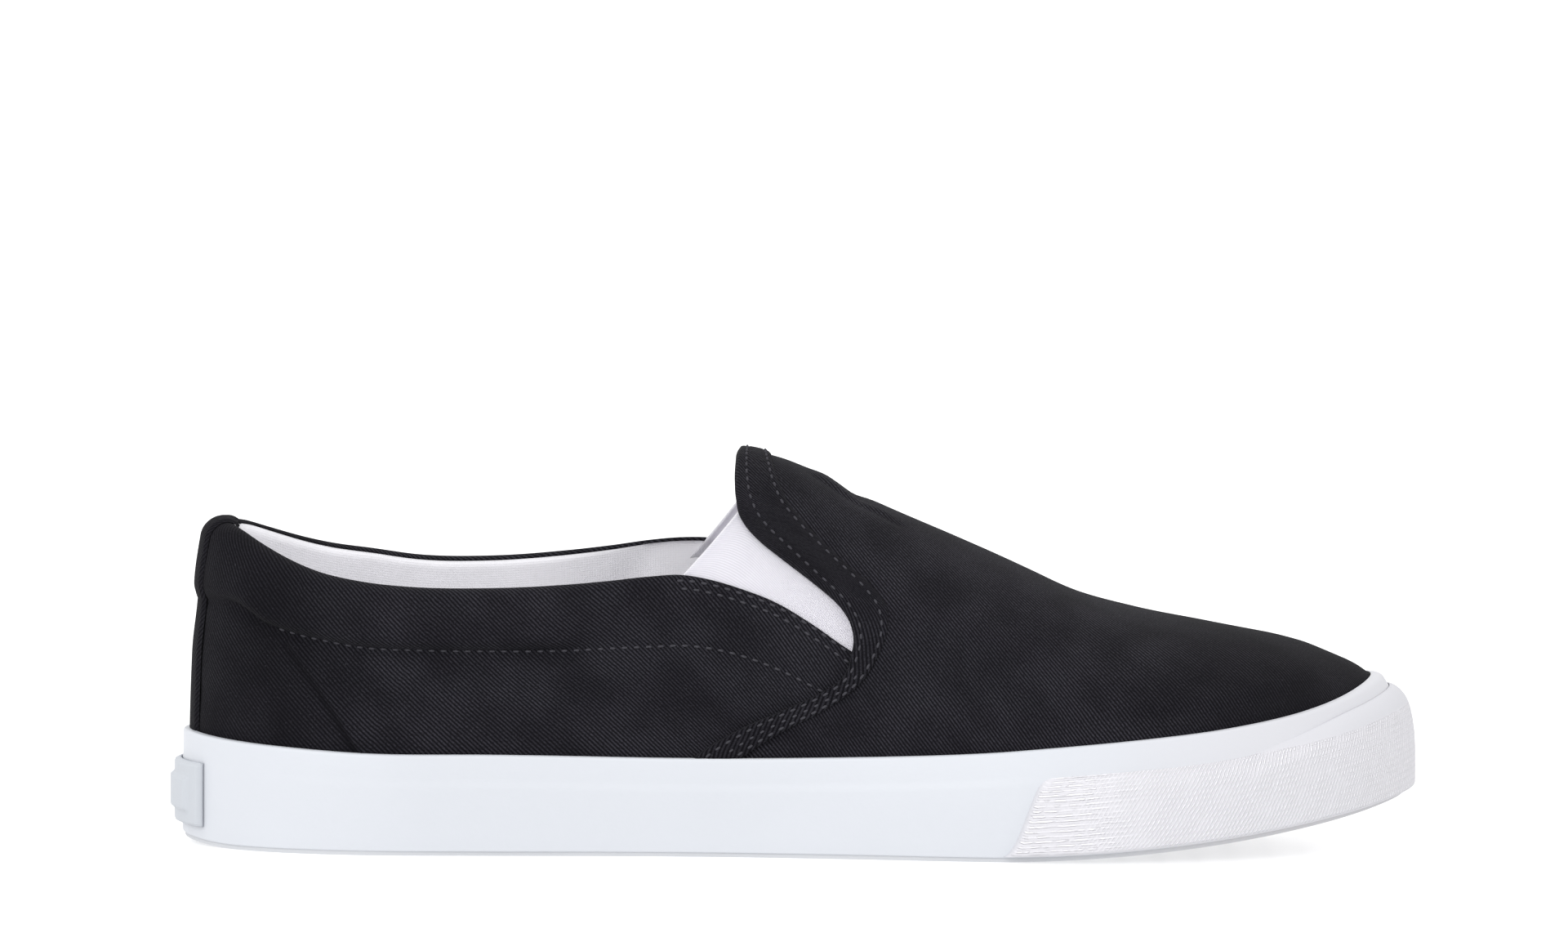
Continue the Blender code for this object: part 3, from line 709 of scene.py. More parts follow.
# %% Twill
TWILL_PITCH = 0.00086
THREAD_PITCH = 0.00052
RIB_DRIFT = 0.012                 # the ribs wander over this length
PATCH = 0.014                     # size of the patches where they stand out
SHADE = 0.030                     # size of darker and lighter areas
LINT = 0.0006
RIB_RELIEF = 0.00020
PUCKER = 0.0016                   # width of the puckers across a sewn strip
PUCKER_RELIEF = 0.00060


def twill(name, turned=False):
    """Dark twill; turned swaps the way that the ribs run, as on a strip cut across.

    A rib is a sine of u + v.  It is multiplied by the grain of the threads, by slow
    patches and by a fade to both ends of the shoe.  Where "flat" is 1, most of the
    rib's lighter colour is taken out, which paints a dark line of shade along the
    groove behind the heel counter; the relief stays.
    """
    made = Finish(name, 0.92, 0.06, sheen_weight=0.02, sheen_roughness=0.5)
    u, v = made.uv()
    plane = made.join(u, v)
    drift = made.noise(RIB_DRIFT, plane, 1.0) * (0.6 * TWILL_PITCH)
    run = (0.55 * u - v if turned else u + v) + drift
    rib = run.wave(TWILL_PITCH * (1.14 if turned else 2 ** 0.5))
    grain = made.noise(THREAD_PITCH, plane, 1.0)
    patches = made.noise(PATCH, plane, 4.0).between(0.30, 0.70)
    thread = rib * (0.60 + 1.50 * (grain - 0.5))
    x = made.along_shoe()
    middle = x.between(-0.120, -0.092) * (1.0 - x.between(0.072, 0.110))
    shown = thread * (0.50 + 0.50 * patches) * (0.45 + 0.55 * middle) * (0.8 if turned else 1.0)
    # painted shade: where "flat" is 1, along the groove behind the heel counter, the lighter ribs are taken
    # out of the colour
    shown = shown * (1.0 - 0.8 * made.mark("flat"))
    lint = made.noise(LINT, plane, 2.0).between(0.62, 0.78)
    shade = made.noise(SHADE, plane, 2.0)
    dark = made.blend(shade, paint(9, 8, 12), paint(14, 13, 17))
    cloth = made.blend(shown, dark, paint(64, 63, 70))
    made.colour(made.blend(lint * 0.30, cloth, paint(74, 73, 79)))
    made.bump(thread * (0.5 + 0.5 * patches), RIB_RELIEF)
    if turned:
        made.bump(made.noise(PUCKER, made.join(u, 0.3 * v)), PUCKER_RELIEF)
    return made


canvas = twill("canvas_twill")
canvas_strip = twill("canvas_strip", turned=True)
print("twill ribs per cm", round(0.01 / TWILL_PITCH, 1))

# %% [markdown]
# ## Vamp
# The vamp is one piece of cloth pulled over the front of the last.  It could be a
# sculpted or simulated cloth, but its shape is the last's own, so it is the form
# itself, grown by the cloth, with the few creases of the photograph pressed in: a
# soft fold across the instep and hardly anything further on.

# %% Creases and the flat cloth
CLOTH = 0.0008                    # thickness of one layer of twill
CLEAR = 0.0001                    # thin gap between two layers
VAMP_WAVES = (0.047, 0.00030)     # wavelength and depth of the cloth's unevenness
TIP_DROP = 0.0005                 # the throat's top corner is rounded off by this much
TIP_REACH = 0.0016
TIP_LIFT = 0.80
CREASES = [
    # side, depth, width, then points as share and lift
    (-1, 0.00045, 0.0030, [(0.549, 1.000), (0.548, 0.960), (0.552, 0.915)]),
    (-1, 0.00045, 0.0015, [(0.516, 0.925), (0.524, 0.906), (0.535, 0.888), (0.547, 0.868),
                           (0.566, 0.860), (0.582, 0.838)]),
    (-1, -0.00035, 0.0018, [(0.522, 0.945), (0.531, 0.926), (0.542, 0.908), (0.554, 0.895),
                            (0.572, 0.885)]),
    (-1, -0.00028, 0.0034, [(0.522, 1.000), (0.524, 0.962), (0.530, 0.935)]),
    (1, 0.00042, 0.0030, [(0.549, 1.000), (0.547, 0.950), (0.553, 0.890), (0.567, 0.840)]),
    (1, -0.00028, 0.0034, [(0.522, 1.000), (0.525, 0.950), (0.534, 0.890)]),
    (-1, 0.00030, 0.0080, [(0.640, 0.800), (0.675, 0.620), (0.690, 0.450)]),
    (1, 0.00030, 0.0080, [(0.640, 0.820), (0.680, 0.640), (0.700, 0.470)]),
]


def crease_path(side, points, steps=40):
    """A smooth line on the form through a crease's given points."""
    share, lift = through(points, steps)
    return form(side, turn_of(share), lift)


def flat_cloth(side, turn, lift, steps=24):
    """Where a point lay in the flat cloth: u along the ridge and v across it, in metres.

    r is the length of the rib from the ridge down to the point.  The rib keeps the
    direction d that it has in plan: u = ridge run + r d_x and v = r d_y.
    """
    side, turn, lift = np.broadcast_arrays(side, turn, lift)
    levels = lift[..., None] + (1 - lift[..., None]) * np.linspace(0, 1, steps + 1)
    rib = form(side[..., None], turn[..., None], levels)
    r = np.linalg.norm(np.diff(rib, axis=-2), axis=-1).sum(axis=-1)
    ridge = form(side, turn, 1.0)
    plan = (form(side, turn, 0.0) - ridge)[..., :2]
    plan = plan / np.linalg.norm(plan, axis=-1, keepdims=True)
    ridge_run = np.interp(turn, all_turns, travelled(form(-1, all_turns, 1.0)))
    return np.stack((ridge_run + r * plan[..., 0], r * plan[..., 1]), axis=-1)


print(len(CREASES), "creases pressed in by hand")

# %% Vamp cloth
VAMP_ROWS = 190
VAMP_LIFTS = 95


def throat_share(lift):
    return smooth(THROAT[:, 0], THROAT[:, 1], lift)


def tip_drop(share, lift):
    """How far the throat's top corner rolls down: most at the edge, none past TIP_REACH."""
    away = (share - throat_share(lift)) * UPPER_LENGTH / TIP_REACH
    return TIP_DROP * np.clip(1 - away, 0, 1) ** 2 * ramp((lift - TIP_LIFT) / (1 - TIP_LIFT))


def vamp_grow(side, turn, lift):
    """How far the vamp's face lies over the form: behind the tape, then proud, with folds."""
    points = form(side, turn, lift)
    clear = points[..., 2] - foxing_top(share_of(turn)) - VAMP_START
    grow = VAMP_PROUD * ramp(clear / VAMP_RAMP)
    free = ramp(clear / (3 * VAMP_RAMP))
    grow = grow + waves(points, *VAMP_WAVES) * free
    for crease_side, depth, width, places in CREASES:
        grow = grow - depth * nearness(points, crease_path(crease_side, places), width)
    return grow - tip_drop(share_of(turn), lift)


def vamp_body(name, side, turn, lift, outer, inner, finish, flat=None):
    """Closed layer over the front between two growths; at the toe both sides meet halfway."""
    faces = [skin(side, turn, lift, grow) for grow in (outer, inner)]
    for face in faces:
        face[-1] = (face[-1] + face[-1, ::-1]) / 2
    loops = there_and_back(*faces)
    along = loops[..., 0] if flat is None else there_and_back(flat, flat)
    return body(name, loops, along, finish, ["upper"], folded=True)


lifts = np.linspace(0, 1, VAMP_LIFTS + 1)
lifts = np.concatenate((lifts, lifts[-2::-1]))
vamp_side = np.where(np.arange(len(lifts)) <= VAMP_LIFTS, -1, 1)
vamp_start = turn_of(throat_share(lifts))
vamp_turn = vamp_start + (1 - vamp_start) * np.linspace(0, 1, VAMP_ROWS + 1)[:, None]
vamp_out = vamp_grow(vamp_side, vamp_turn, lifts)
vamp_flat = flat_cloth(vamp_side, vamp_turn, lifts)
vamp_body("vamp_cloth", vamp_side, vamp_turn, lifts, vamp_out, vamp_out - CLOTH, canvas, vamp_flat)

# %% [markdown]
# ## Quarters and collar
# The back of the upper is one wall that ends in a padded roll.  Its section runs up
# the outer face, swells over the foam, turns over the top and comes down inside as
# lining.  The twill covers the outside and stops just past the top; from there the
# white lining takes over.  Both are cut from the same section, so they always meet.

# %% Section of the quarter
CLOTH_DROP = 0.0009               # the twill ends this far below the collar's top, inside
QUARTER_STEPS = 200
PAD_BULGE = 0.0026                # foam swells between the crease and the roll
LINING_INSET = 0.00025
PART_STEPS = (40, 22, 14, 16, 22, 14)
HEEL_PULL = np.array([
    # share, how far the trough lies above the frame's crease
    (0.000, 0.0035), (0.020, 0.0038), (0.041, 0.0040), (0.056, 0.0024),
    (0.068, 0.0009), (0.090, 0.0001), (0.120, 0.0000),
])


def collar(side, share):
    """Height of the collar's top line."""
    lateral = smooth(COLLAR[:, 0], COLLAR[:, 1], share)
    medial = smooth(COLLAR[:, 0], COLLAR[:, 2], share)
    return HEEL_HEIGHT * np.where(np.asarray(side) < 0, lateral, medial)


def crease_height(share):
    """Height of the trough under the padding; at the heel the pull of the strip lifts it."""
    pulled = smooth(HEEL_PULL[:, 0], HEEL_PULL[:, 1], share)
    return HEEL_HEIGHT * smooth(COLLAR[:, 0], COLLAR[:, 3], share) + pulled


def quarter_section(side, share, bottom):
    """Heights and growths once over the wall, array (station, point).

    Outer face up to the crease, swelling, half circle over the top, lining down.  The
    twill ends at the column where the half circle has dropped by CLOTH_DROP.
    """
    top = collar(side, share)[:, None]
    crease = crease_height(share)[:, None]
    padding = np.clip(smooth(COLLAR[:, 0], COLLAR[:, 4], share), 0, 1)[:, None]
    radius = (WALL + (PADDING - WALL) * padding) / 2
    shoulder = top - radius
    bottom = np.asarray(bottom)[:, None]
    seam = pi / 2 + np.arccos(np.clip(1 - CLOTH_DROP / radius, -0.98, 1))
    t = [np.linspace(0, 1, n + 1)[1:] for n in PART_STEPS]
    rise = np.concatenate(([0.0], t[0]))
    arc = np.concatenate((seam * t[2], seam + (pi - seam) * t[3]), axis=1)
    down = shoulder + (crease - PAD_RAMP - shoulder) * t[4]
    swell = ramp((down - crease + PAD_RAMP) / (2 * PAD_RAMP))
    dent = -CREASE_DENT * padding
    swelling = PAD_BULGE * ramp(padding / 0.6) * (0.20 + 0.80 * ramp(share / 0.06))[:, None]
    bulge = swelling * np.sin(pi * t[1] ** 0.62)
    height = [bottom + (crease - bottom) * rise, crease + (shoulder - crease) * t[1],
              shoulder + radius * np.sin(arc), down,
              (crease - PAD_RAMP) + (bottom - crease + PAD_RAMP) * t[5]]
    grow = [dent * ramp((rise - 0.6) / 0.4), dent * (1 - ramp(t[1] * 4)) + bulge,
            radius * (np.cos(arc) - 1), -WALL + (WALL - 2 * radius) * swell, -WALL + 0 * bottom * t[5]]
    return np.concatenate(height, axis=1), np.concatenate(grow, axis=1)


def thickened(height, grow, depth):
    """The same section moved inwards by a depth, along its own normals."""
    rise = np.gradient(height, axis=1)
    out = np.gradient(grow, axis=1)
    length = np.hypot(rise, out) + 1e-12
    return height + depth * out / length, grow - depth * rise / length


def outline_run(side, turn):
    """Distance along the outline from the heel, counted up on the outer side and down inside."""
    runs = [travelled(np.stack(outline(s, all_turns), axis=-1)) for s in (-1, 1)]
    return np.where(side < 0, np.interp(turn, all_turns, runs[0]), -np.interp(turn, all_turns, runs[1]))


SEAM_COLUMN = sum(PART_STEPS[:3])
quarter_side, quarter_away = around_end(QUARTER_STEPS)
quarter_front = turn_of(COLLAR[-1, 0])
quarter_share = share_of(quarter_away * quarter_front)
section_height, section_grow = quarter_section(quarter_side, quarter_share, feather(quarter_share) + GAP)
print("section has", section_height.shape[1], "points; twill ends at", SEAM_COLUMN)

# %% Lines sewn on the quarter
QUARTER_WAVES = (0.041, 0.00028)  # wavelength and depth of the cloth's unevenness
HEEL_COUNTER = [(0.086, 0.0485), (0.108, 0.0403), (0.131, 0.0309), (0.148, 0.0228)]
BEHIND_COUNTER = [(0.081, 0.0482), (0.103, 0.0400), (0.126, 0.0306), (0.143, 0.0228)]
COLLAR_TROUGH = [(0.0005, 0.0571), (0.020, 0.0573), (0.041, 0.0570), (0.056, 0.0550), (0.068, 0.0531)]
ROW_BELOW = (0.0003, 0.0004)      # the row stays this far below the trough, and more at the heel
COLLAR_ROW = [(0.075, 0.0523), (0.120, 0.0497), (0.187, 0.0478), (0.254, 0.0474), (0.320, 0.0476),
              (0.420, 0.0489), (0.473, 0.0454), (0.525, 0.0385)]


def quarter_line(side, points, steps, sunk=0.0):
    """A smooth line on the quarter through given points of share and height.

    It keeps below the trough.  A sunk line lies that much deeper than the trough's own
    dent, which fades with the padding.
    """
    share, height = through(points, steps)
    below = ROW_BELOW[0] + ROW_BELOW[1] * ramp((0.20 - share) / 0.06)
    height = np.minimum(height, crease_height(share) - below)
    padding = np.clip(smooth(COLLAR[:, 0], COLLAR[:, 4], share), 0, 1)
    uneven = waves(at_height(side, turn_of(share), height, 0.0), *QUARTER_WAVES)
    grow = (uneven - sunk - CREASE_DENT * padding) * (sunk > 0)
    return at_height(side, turn_of(share), height, grow)


def edge_line(side, drop, steps, ends=(0.400, 0.545)):
    """A line that runs a drop below the quarter's free edge beside the elastic."""
    share = np.linspace(*ends, steps)
    slope = np.gradient(collar(side, share), share * UPPER_LENGTH)
    return at_height(side, turn_of(share), collar(side, share) - drop * np.hypot(1, slope), 0.0)


EDGE_ROWS = (0.0013, 0.0031)
# depth and width of each line that is pressed in; a ridge has a negative depth
COUNTER_RIDGE = (-0.00100, 0.0010)
COUNTER_GROOVE = (0.00025, 0.0010)
COLLAR_GROOVE = (0.00050, 0.0011)
ROW_GROOVE = (0.00022, 0.0006)
presses = []
for line_side in (-1, 1):
    presses.append((quarter_line(line_side, HEEL_COUNTER, 60), *COUNTER_RIDGE))
    presses.append((quarter_line(line_side, BEHIND_COUNTER, 60), *COUNTER_GROOVE))
    presses.append((quarter_line(line_side, COLLAR_TROUGH + COLLAR_ROW, 260), *COLLAR_GROOVE))
    for drop in EDGE_ROWS:
        presses.append((edge_line(line_side, drop, 80), *ROW_GROOVE))
print("lines pressed into the quarters", len(presses))

# %% Quarter cloth
FREE = 0.010                      # the unevenness fades out over this much at the cloth's edges
PAINTED_COUNTER_SHADE = 0.0009             # half the width of the painted line of shade behind the counter's edge


def quarter_body(name, height, grow, depth, pressed, finish):
    """A layer of the quarter between a section and its copy moved inwards."""
    bottom = feather(quarter_share)[:, None] + GAP
    top = collar(quarter_side, quarter_share)[:, None]
    faces = []
    for h, g in ((height, grow), thickened(height, grow, depth)):
        level = np.clip((h - bottom) / (top - bottom), 0, 1)
        edge = throat_share(lift_at(quarter_side[:, None], quarter_front, h[0]))
        reach = turn_of(np.minimum(edge + VAMP_LAP / UPPER_LENGTH, COLLAR[-1, 0]))
        turn = quarter_away[:, None] * reach
        low = feather(share_of(turn)) + GAP
        raised = low * (1 - level) + level * top + (h - bottom - level * (top - bottom))
        faces.append((turn, raised, g))
    turn, raised, g = faces[0]
    points = at_height(quarter_side[:, None], turn, raised, g)
    change = np.zeros_like(g)
    flat = np.zeros_like(g)
    if pressed:
        free = ramp((raised - foxing_top(share_of(turn))) / FREE) * ramp((top - raised) / FREE)
        change = waves(points, *QUARTER_WAVES) * free
        for line, press, width in presses:
            change = change - press * nearness(points, line, width)
        # painted shade: "flat" marks the groove behind the heel counter, which the twill paints darker
        for line_side in (-1, 1):
            flat = flat + nearness(points, quarter_line(line_side, BEHIND_COUNTER, 60), PAINTED_COUNTER_SHADE)
    shells = [at_height(quarter_side[:, None], t, h, g + change) for t, h, g in faces]
    along = [outline_run(quarter_side[:, None], t) for t, h, g in faces]
    return body(name, there_and_back(*shells), there_and_back(*along), finish, ["upper"],
                marks={"flat": there_and_back(flat, 0 * flat)})


quarter_body("quarter_cloth", section_height[:, :SEAM_COLUMN + 1], section_grow[:, :SEAM_COLUMN + 1],
             CLOTH, True, canvas)

# %% [markdown]
# ## Lining
# Inside, the shoe is lined with soft white cotton.  It is the part of the same section
# past the seam, set back a little so that the edge of the twill shows as a thin dark
# line along the rim, and it goes on under the vamp.

# %% Lining
def cotton(name, colour, size):
    """Plain soft cotton: faint blotches, a fine crossed weave."""
    made = Finish(name, 0.88, 0.25, sheen_weight=0.05)
    u, v = made.uv()
    plane = made.join(u, v)
    blotch = made.noise(0.02, plane, 3.0)
    low = tuple(0.90 * c for c in colour[:3]) + (1.0,)
    made.colour(made.blend(blotch, low, colour))
    weave = u.wave(size) * v.wave(size)
    fuzz = made.noise(size * 0.8, plane, 2.0)
    made.bump(weave * 0.6 + fuzz * 0.6, 0.00012, 0.7)
    made.bump(blotch, 0.0010, 0.5)
    return made


lining = cotton("lining_cotton", paint(248, 247, 251), 0.0006)
lining_height, lining_grow = thickened(section_height, section_grow, LINING_INSET)
quarter_body("quarter_lining", lining_height[:, SEAM_COLUMN - 1:], lining_grow[:, SEAM_COLUMN - 1:],
             CLOTH, False, lining)

LINING_ROWS = 90
lining_turn = vamp_start + (1 - vamp_start) * np.linspace(0, 1, LINING_ROWS + 1)[:, None]
lining_turn = lining_turn[:, ::2]
lining_side = vamp_side[::2]
lining_lift = lifts[::2]
lining_sunk = np.minimum(vamp_grow(lining_side, lining_turn, lining_lift) - VAMP_PROUD, 0)
lining_out = VAMP_PROUD - CLOTH - CLEAR + lining_sunk
lining_low = VAMP_PROUD - WALL - tip_drop(share_of(lining_turn), lining_lift)
vamp_body("vamp_lining", lining_side, lining_turn, lining_lift, lining_out, lining_low, lining)

# %% [markdown]
# ## Strip round the throat
# A strip of twill, folded double, is sewn along the vamp's back edge and turned over
# it.  Its section is a flat hook: across the outer face, round the edge and a little
# way inside.  The hook is carried along the throat from tape to tape.

# %% Section of the throat strip
HOOK_INSIDE = 0.0045              # the strip goes on this far inside the throat
HOOK_SOFT = 0.0005                # rounding of the folded edge
HOOK_TUCKED = 0.12                # share of that length where the elastic covers the inside
HOOK_FLAT = 0.30                  # share of the hook's depth where it lies on the quarter
INNER_RISE = 0.05                 # on the inner side the elastic reaches this much higher up the last


def band_stations(steps):
    """Sides and lifts along the throat, from the lateral tape over the ridge to the medial one."""
    share = throat_share(BAND_FOOT) + BAND_WIDTH / UPPER_LENGTH
    feet = [lift_at(side, turn_of(share), foxing_top(share) - 2 * GAP) for side in (-1, 1)]
    lateral = np.linspace(feet[0], 1, steps + 1)
    medial = np.linspace(1, feet[1], steps + 1)[1:]
    return np.where(np.arange(2 * steps + 1) <= steps, -1, 1), np.concatenate((lateral, medial))


def band_share(lift, across):
    """Share of the upper's length at a place across the strip: 0 at the throat, 1 in front."""
    width = BAND_WIDTH / UPPER_LENGTH * smooth(THROAT[:, 0], THROAT[:, 2], lift)
    return throat_share(lift) + width * across


def band_point(side, lift, across, grow):
    """A place on the strip; past the throat's edge, across is below 0."""
    return skin(side, turn_of(band_share(lift, across)), lift, grow)


def hook_section():
    """Across and growth over the strip's section, outer face first, then the inner face back."""
    flat = np.linspace(1, 0, 22)
    edge = 0.5 * np.sin(np.linspace(0, pi, 12))[1:-1]
    inside = np.linspace(0, HOOK_INSIDE / BAND_WIDTH, 8)
    outer = VAMP_PROUD + CLEAR + BAND - HOOK_SOFT * np.exp(-((1 - flat) / 0.06) ** 2)
    inner_face = VAMP_PROUD - WALL - CLEAR
    turn = np.linspace(outer[-1], inner_face - BAND, 12)[1:-1]
    across = np.concatenate((flat, -edge * 0.16, inside))
    grow = np.concatenate((outer, turn, np.full_like(inside, inner_face - BAND)))
    back_across = np.concatenate((inside[::-1], flat[::-1]))
    back_grow = np.concatenate((np.full_like(inside, inner_face), np.full_like(flat, VAMP_PROUD + CLEAR)))
    return np.concatenate((across, back_across)), np.concatenate((grow, back_grow))


hook_across, hook_grow = hook_section()
print("the hook has", len(hook_across), "points")

# %% Throat strip
BAND_STEPS = 130
BAND_ROWS = (0.20, 0.84)
band_side, band_lift = band_stations(BAND_STEPS)
free_lift = GUSSET_LIFT[0] - 0.01 + INNER_RISE * (band_side > 0)
tucked = HOOK_TUCKED + (1 - HOOK_TUCKED) * ramp((band_lift - free_lift) / 0.07)[:, None]
squash = HOOK_FLAT + (1 - HOOK_FLAT) * ramp((band_lift - 0.42) / 0.08)[:, None]
hook_across = hook_across * np.where((hook_grow < 0) & (hook_across > 0), tucked, 1.0)
hook_grow = np.where(hook_grow < VAMP_PROUD, VAMP_PROUD - (VAMP_PROUD - hook_grow) * squash, hook_grow)
band_place = (band_side[:, None], band_lift[:, None])
band_loops = band_point(*band_place, hook_across, 0.0)
band_turn = turn_of(band_share(band_place[1], hook_across))
band_normal = normal(band_place[0], band_turn, band_place[1])
dents = np.zeros(band_loops.shape[:2])
for across in BAND_ROWS:
    row = band_point(band_side, band_lift, across, 0.0)
    dents = dents + ROW_GROOVE[0] * nearness(band_loops, row, ROW_GROOVE[1])
dents = dents * (hook_grow > VAMP_PROUD + BAND / 2)
rolled = tip_drop(band_share(band_place[1], np.maximum(hook_across, 0)), band_place[1])
band_loops = band_loops + band_normal * (hook_grow - dents - rolled)[..., None]
body("throat_strip", band_loops, travelled(band_loops[:, 10]), canvas_strip, ["throat_band"])

# %% [markdown]
# ## Strip up the heel
# The two quarters meet at the back under a narrow strip that folds over the collar.
# It is the quarter's own section again, moved out by the strip's thickness.

# %% Heel strip
STAY_STEPS = 30
STAY_SOFT = 0.0016                # the strip thins out over this much along both edges
stay_across = np.linspace(STAY_WIDTH / 2, -STAY_WIDTH / 2, 2 * STAY_STEPS + 1)
stay_side = np.where(stay_across > 0, -1, 1)
stay_turn = turn_at_reach(1, np.abs(stay_across))
stay_share = share_of(stay_turn)
stay_height, stay_grow = quarter_section(stay_side, stay_share, foxing_top(stay_share) - 2 * GAP)
stay_height = stay_height[:, :SEAM_COLUMN + 4]
stay_grow = stay_grow[:, :SEAM_COLUMN + 4]
stay_edge = ramp((STAY_WIDTH / 2 - np.abs(stay_across)) / STAY_SOFT)[:, None]
stay_faces = [thickened(stay_height, stay_grow, -CLEAR),
              thickened(stay_height, stay_grow, -(GAP + STAY) * (0.25 + 0.75 * stay_edge))]
stay_shells = [at_height(stay_side[:, None], stay_turn[:, None], h, g) for h, g in stay_faces]
stay_loops = there_and_back(stay_shells[1], stay_shells[0])
body("heel_strip", stay_loops, travelled(stay_loops[:, 5]), canvas, ["heel_stay"])

# %% [markdown]
# ## Elastic
# On both sides a wedge of white ribbed elastic fills the gap between vamp and
# quarter.  It hangs between its two sewn edges, so it dips a little in between, and
# its free edge is folded to a thin hem.

# %% Elastic finish
ELASTIC_RIB = 0.00062
ELASTIC_THREAD = 0.00050


def ribbed(name):
    """White elastic: ribs are a sine of 0.45 u + v, slanting down the wedge; threads cross them."""
    made = Finish(name, 0.80, 0.30, sheen_weight=0.08, subsurface_weight=1.0,
                  subsurface_scale=0.0020, subsurface_radius=(1.0, 1.0, 1.0))
    u, v = made.uv()
    drift = made.noise(0.009, made.join(u, v), 1.0) * 0.0006
    rib = (0.45 * u + v + drift).wave(ELASTIC_RIB)
    thread = u.wave(ELASTIC_THREAD)
    blotch = made.noise(0.004, made.join(u, v), 2.0)
    soft = rib * (0.4 + 0.6 * blotch)
    made.colour(made.blend(soft, paint(204, 202, 210), paint(225, 223, 231)))
    made.bump(soft + 0.3 * thread, 0.00009, 0.6)
    return made


elastic = ribbed("elastic_ribbed")
print("elastic has", round(0.01 / ELASTIC_RIB), "ribs per cm")

# %% Elastic wedges
GUSSET_GRID = (70, 44)
ELASTIC = 0.00070                 # thickness of the elastic
ELASTIC_FACE = -0.00070           # its face lies between the cloth and the lining of both edges
ELASTIC_SAG = 0.0012
ELASTIC_HEM = 0.0003
INNER_START = 0.020               # on the inner side the free edge starts this share further forward


def wedge(name, side, node):
    """Elastic from the quarter's edge (across 0) to the vamp's edge (across 1)."""
    across = np.linspace(0, 1, GUSSET_GRID[1] + 1)
    edge = -0.03 - 0.06 * (1 - across)
    along = edge + (1 - edge) * np.linspace(0, 1, GUSSET_GRID[0] + 1)[:, None]
    top_lift = GUSSET_LIFT[0] + INNER_RISE * (side > 0)
    lift = top_lift + (GUSSET_LIFT[1] - top_lift) * along
    front_share = throat_share(lift) + GUSSET_TUCK / UPPER_LENGTH
    front_height = form(side, turn_of(front_share), lift)[..., 2]
    start = GUSSET_SHARE[0] + INNER_START * (side > 0)
    share = start + (GUSSET_SHARE[1] - start) * along
    low_height = collar(side, share) - GUSSET_TUCK
    turn = turn_of(share + (front_share - share) * across)
    height = low_height + (front_height - low_height) * across
    lifts_here = lift_at(side, turn, height)
    sag = ELASTIC_SAG * np.sin(pi * across) * (1 - 0.6 * along)
    hem = ELASTIC_HEM * np.exp(-((along - edge) / 0.035) ** 2) * ramp(4 * across) * ramp(4 - 4 * across)
    outer = ELASTIC_FACE - sag
    front = skin(side, turn, lifts_here, outer + hem)
    back = skin(side, turn, lifts_here, outer - ELASTIC - hem)
    run = travelled(front[:, GUSSET_GRID[1] // 2])
    return body(name, there_and_back(front, back), run, elastic, [node])


wedge("elastic_lateral", -1, "gusset_lateral")
wedge("elastic_medial", 1, "gusset_medial")

# %% [markdown]
# ## Thread
# Stitches are what the eye checks the scale of a shoe by.  Each one is a short
# rounded bar of thread whose ends dip into the cloth.  A single small bar is worked
# out once and copied along every sewn line with numpy, so hundreds of stitches are
# one mesh.

# %% One stitch
STITCH = 0.0017
STITCH_PITCH = 0.0028
THREAD = 0.00030                  # half the thread's thickness
thread_finish = Finish("sewing_thread", 0.75, 0.30)
thread_finish.colour(paint(57, 56, 62))


def stitch_shape():
    """A bar along x as rings of six points, closed to a point at both ends."""
    x = np.linspace(-1, 1, 7)
    width = np.sqrt(np.maximum(1 - x ** 4, 0))
    angle = np.arange(6) * pi / 3
    ring = np.stack((np.cos(angle), np.sin(angle)), axis=-1)
    points = np.concatenate((np.repeat(x[:, None, None] * STITCH / 2, 6, 1),
                             THREAD * width[:, None, None] * ring), axis=2)
    points[..., 2] -= THREAD * 1.1 * (x ** 2)[:, None]
    return points.reshape(-1, 3)


print("a stitch is", STITCH * 1000, "mm long, every", STITCH_PITCH * 1000, "mm")

# %% Sewing
STEP = 0.0001                     # the direction at a stitch is read this far ahead and behind


def unit(vectors):
    return vectors / (np.linalg.norm(vectors, axis=-1, keepdims=True) + 1e-12)


def sew(name, rows):
    """Stitches along rows, each a pair of arrays: points and outward normals."""
    shape = stitch_shape()
    bars = []
    for row, (points, normals) in enumerate(rows):
        run = travelled(points)
        at = np.arange(STITCH_PITCH * (0.2 + 0.37 * row % 1), run[-1], STITCH_PITCH)
        along = unit(read_at(at + STEP, run, points) - read_at(at - STEP, run, points))
        across = unit(np.cross(read_at(at, run, normals), along))
        frames = np.stack((along, across, np.cross(along, across)), axis=1)
        bars.append(read_at(at, run, points)[:, None] + np.einsum("pk,skc->spc", shape, frames))
    bars = np.concatenate(bars)
    i, j = np.meshgrid(np.arange(6), np.arange(6), indexing="ij")
    quad = np.stack((i * 6 + j, i * 6 + (j + 1) % 6, (i + 1) * 6 + (j + 1) % 6, (i + 1) * 6 + j), axis=-1)
    faces = (quad.reshape(-1, 4) + np.arange(len(bars))[:, None, None] * len(shape)).reshape(-1, 4)
    mesh = bpy.data.meshes.new(name)
    mesh.from_pydata((bars.reshape(-1, 3) - CENTRE).tolist(), [], faces.tolist())
    made = bmesh.new()
    made.from_mesh(mesh)
    bmesh.ops.remove_doubles(made, verts=made.verts, dist=MERGE / 10)
    bmesh.ops.recalc_face_normals(made, faces=made.faces)
    made.to_mesh(mesh)
    made.free()
    print(len(bars), "stitches")
    return new_piece(name, mesh, thread_finish, [])


print("rows are sewn along points and their outward normals")

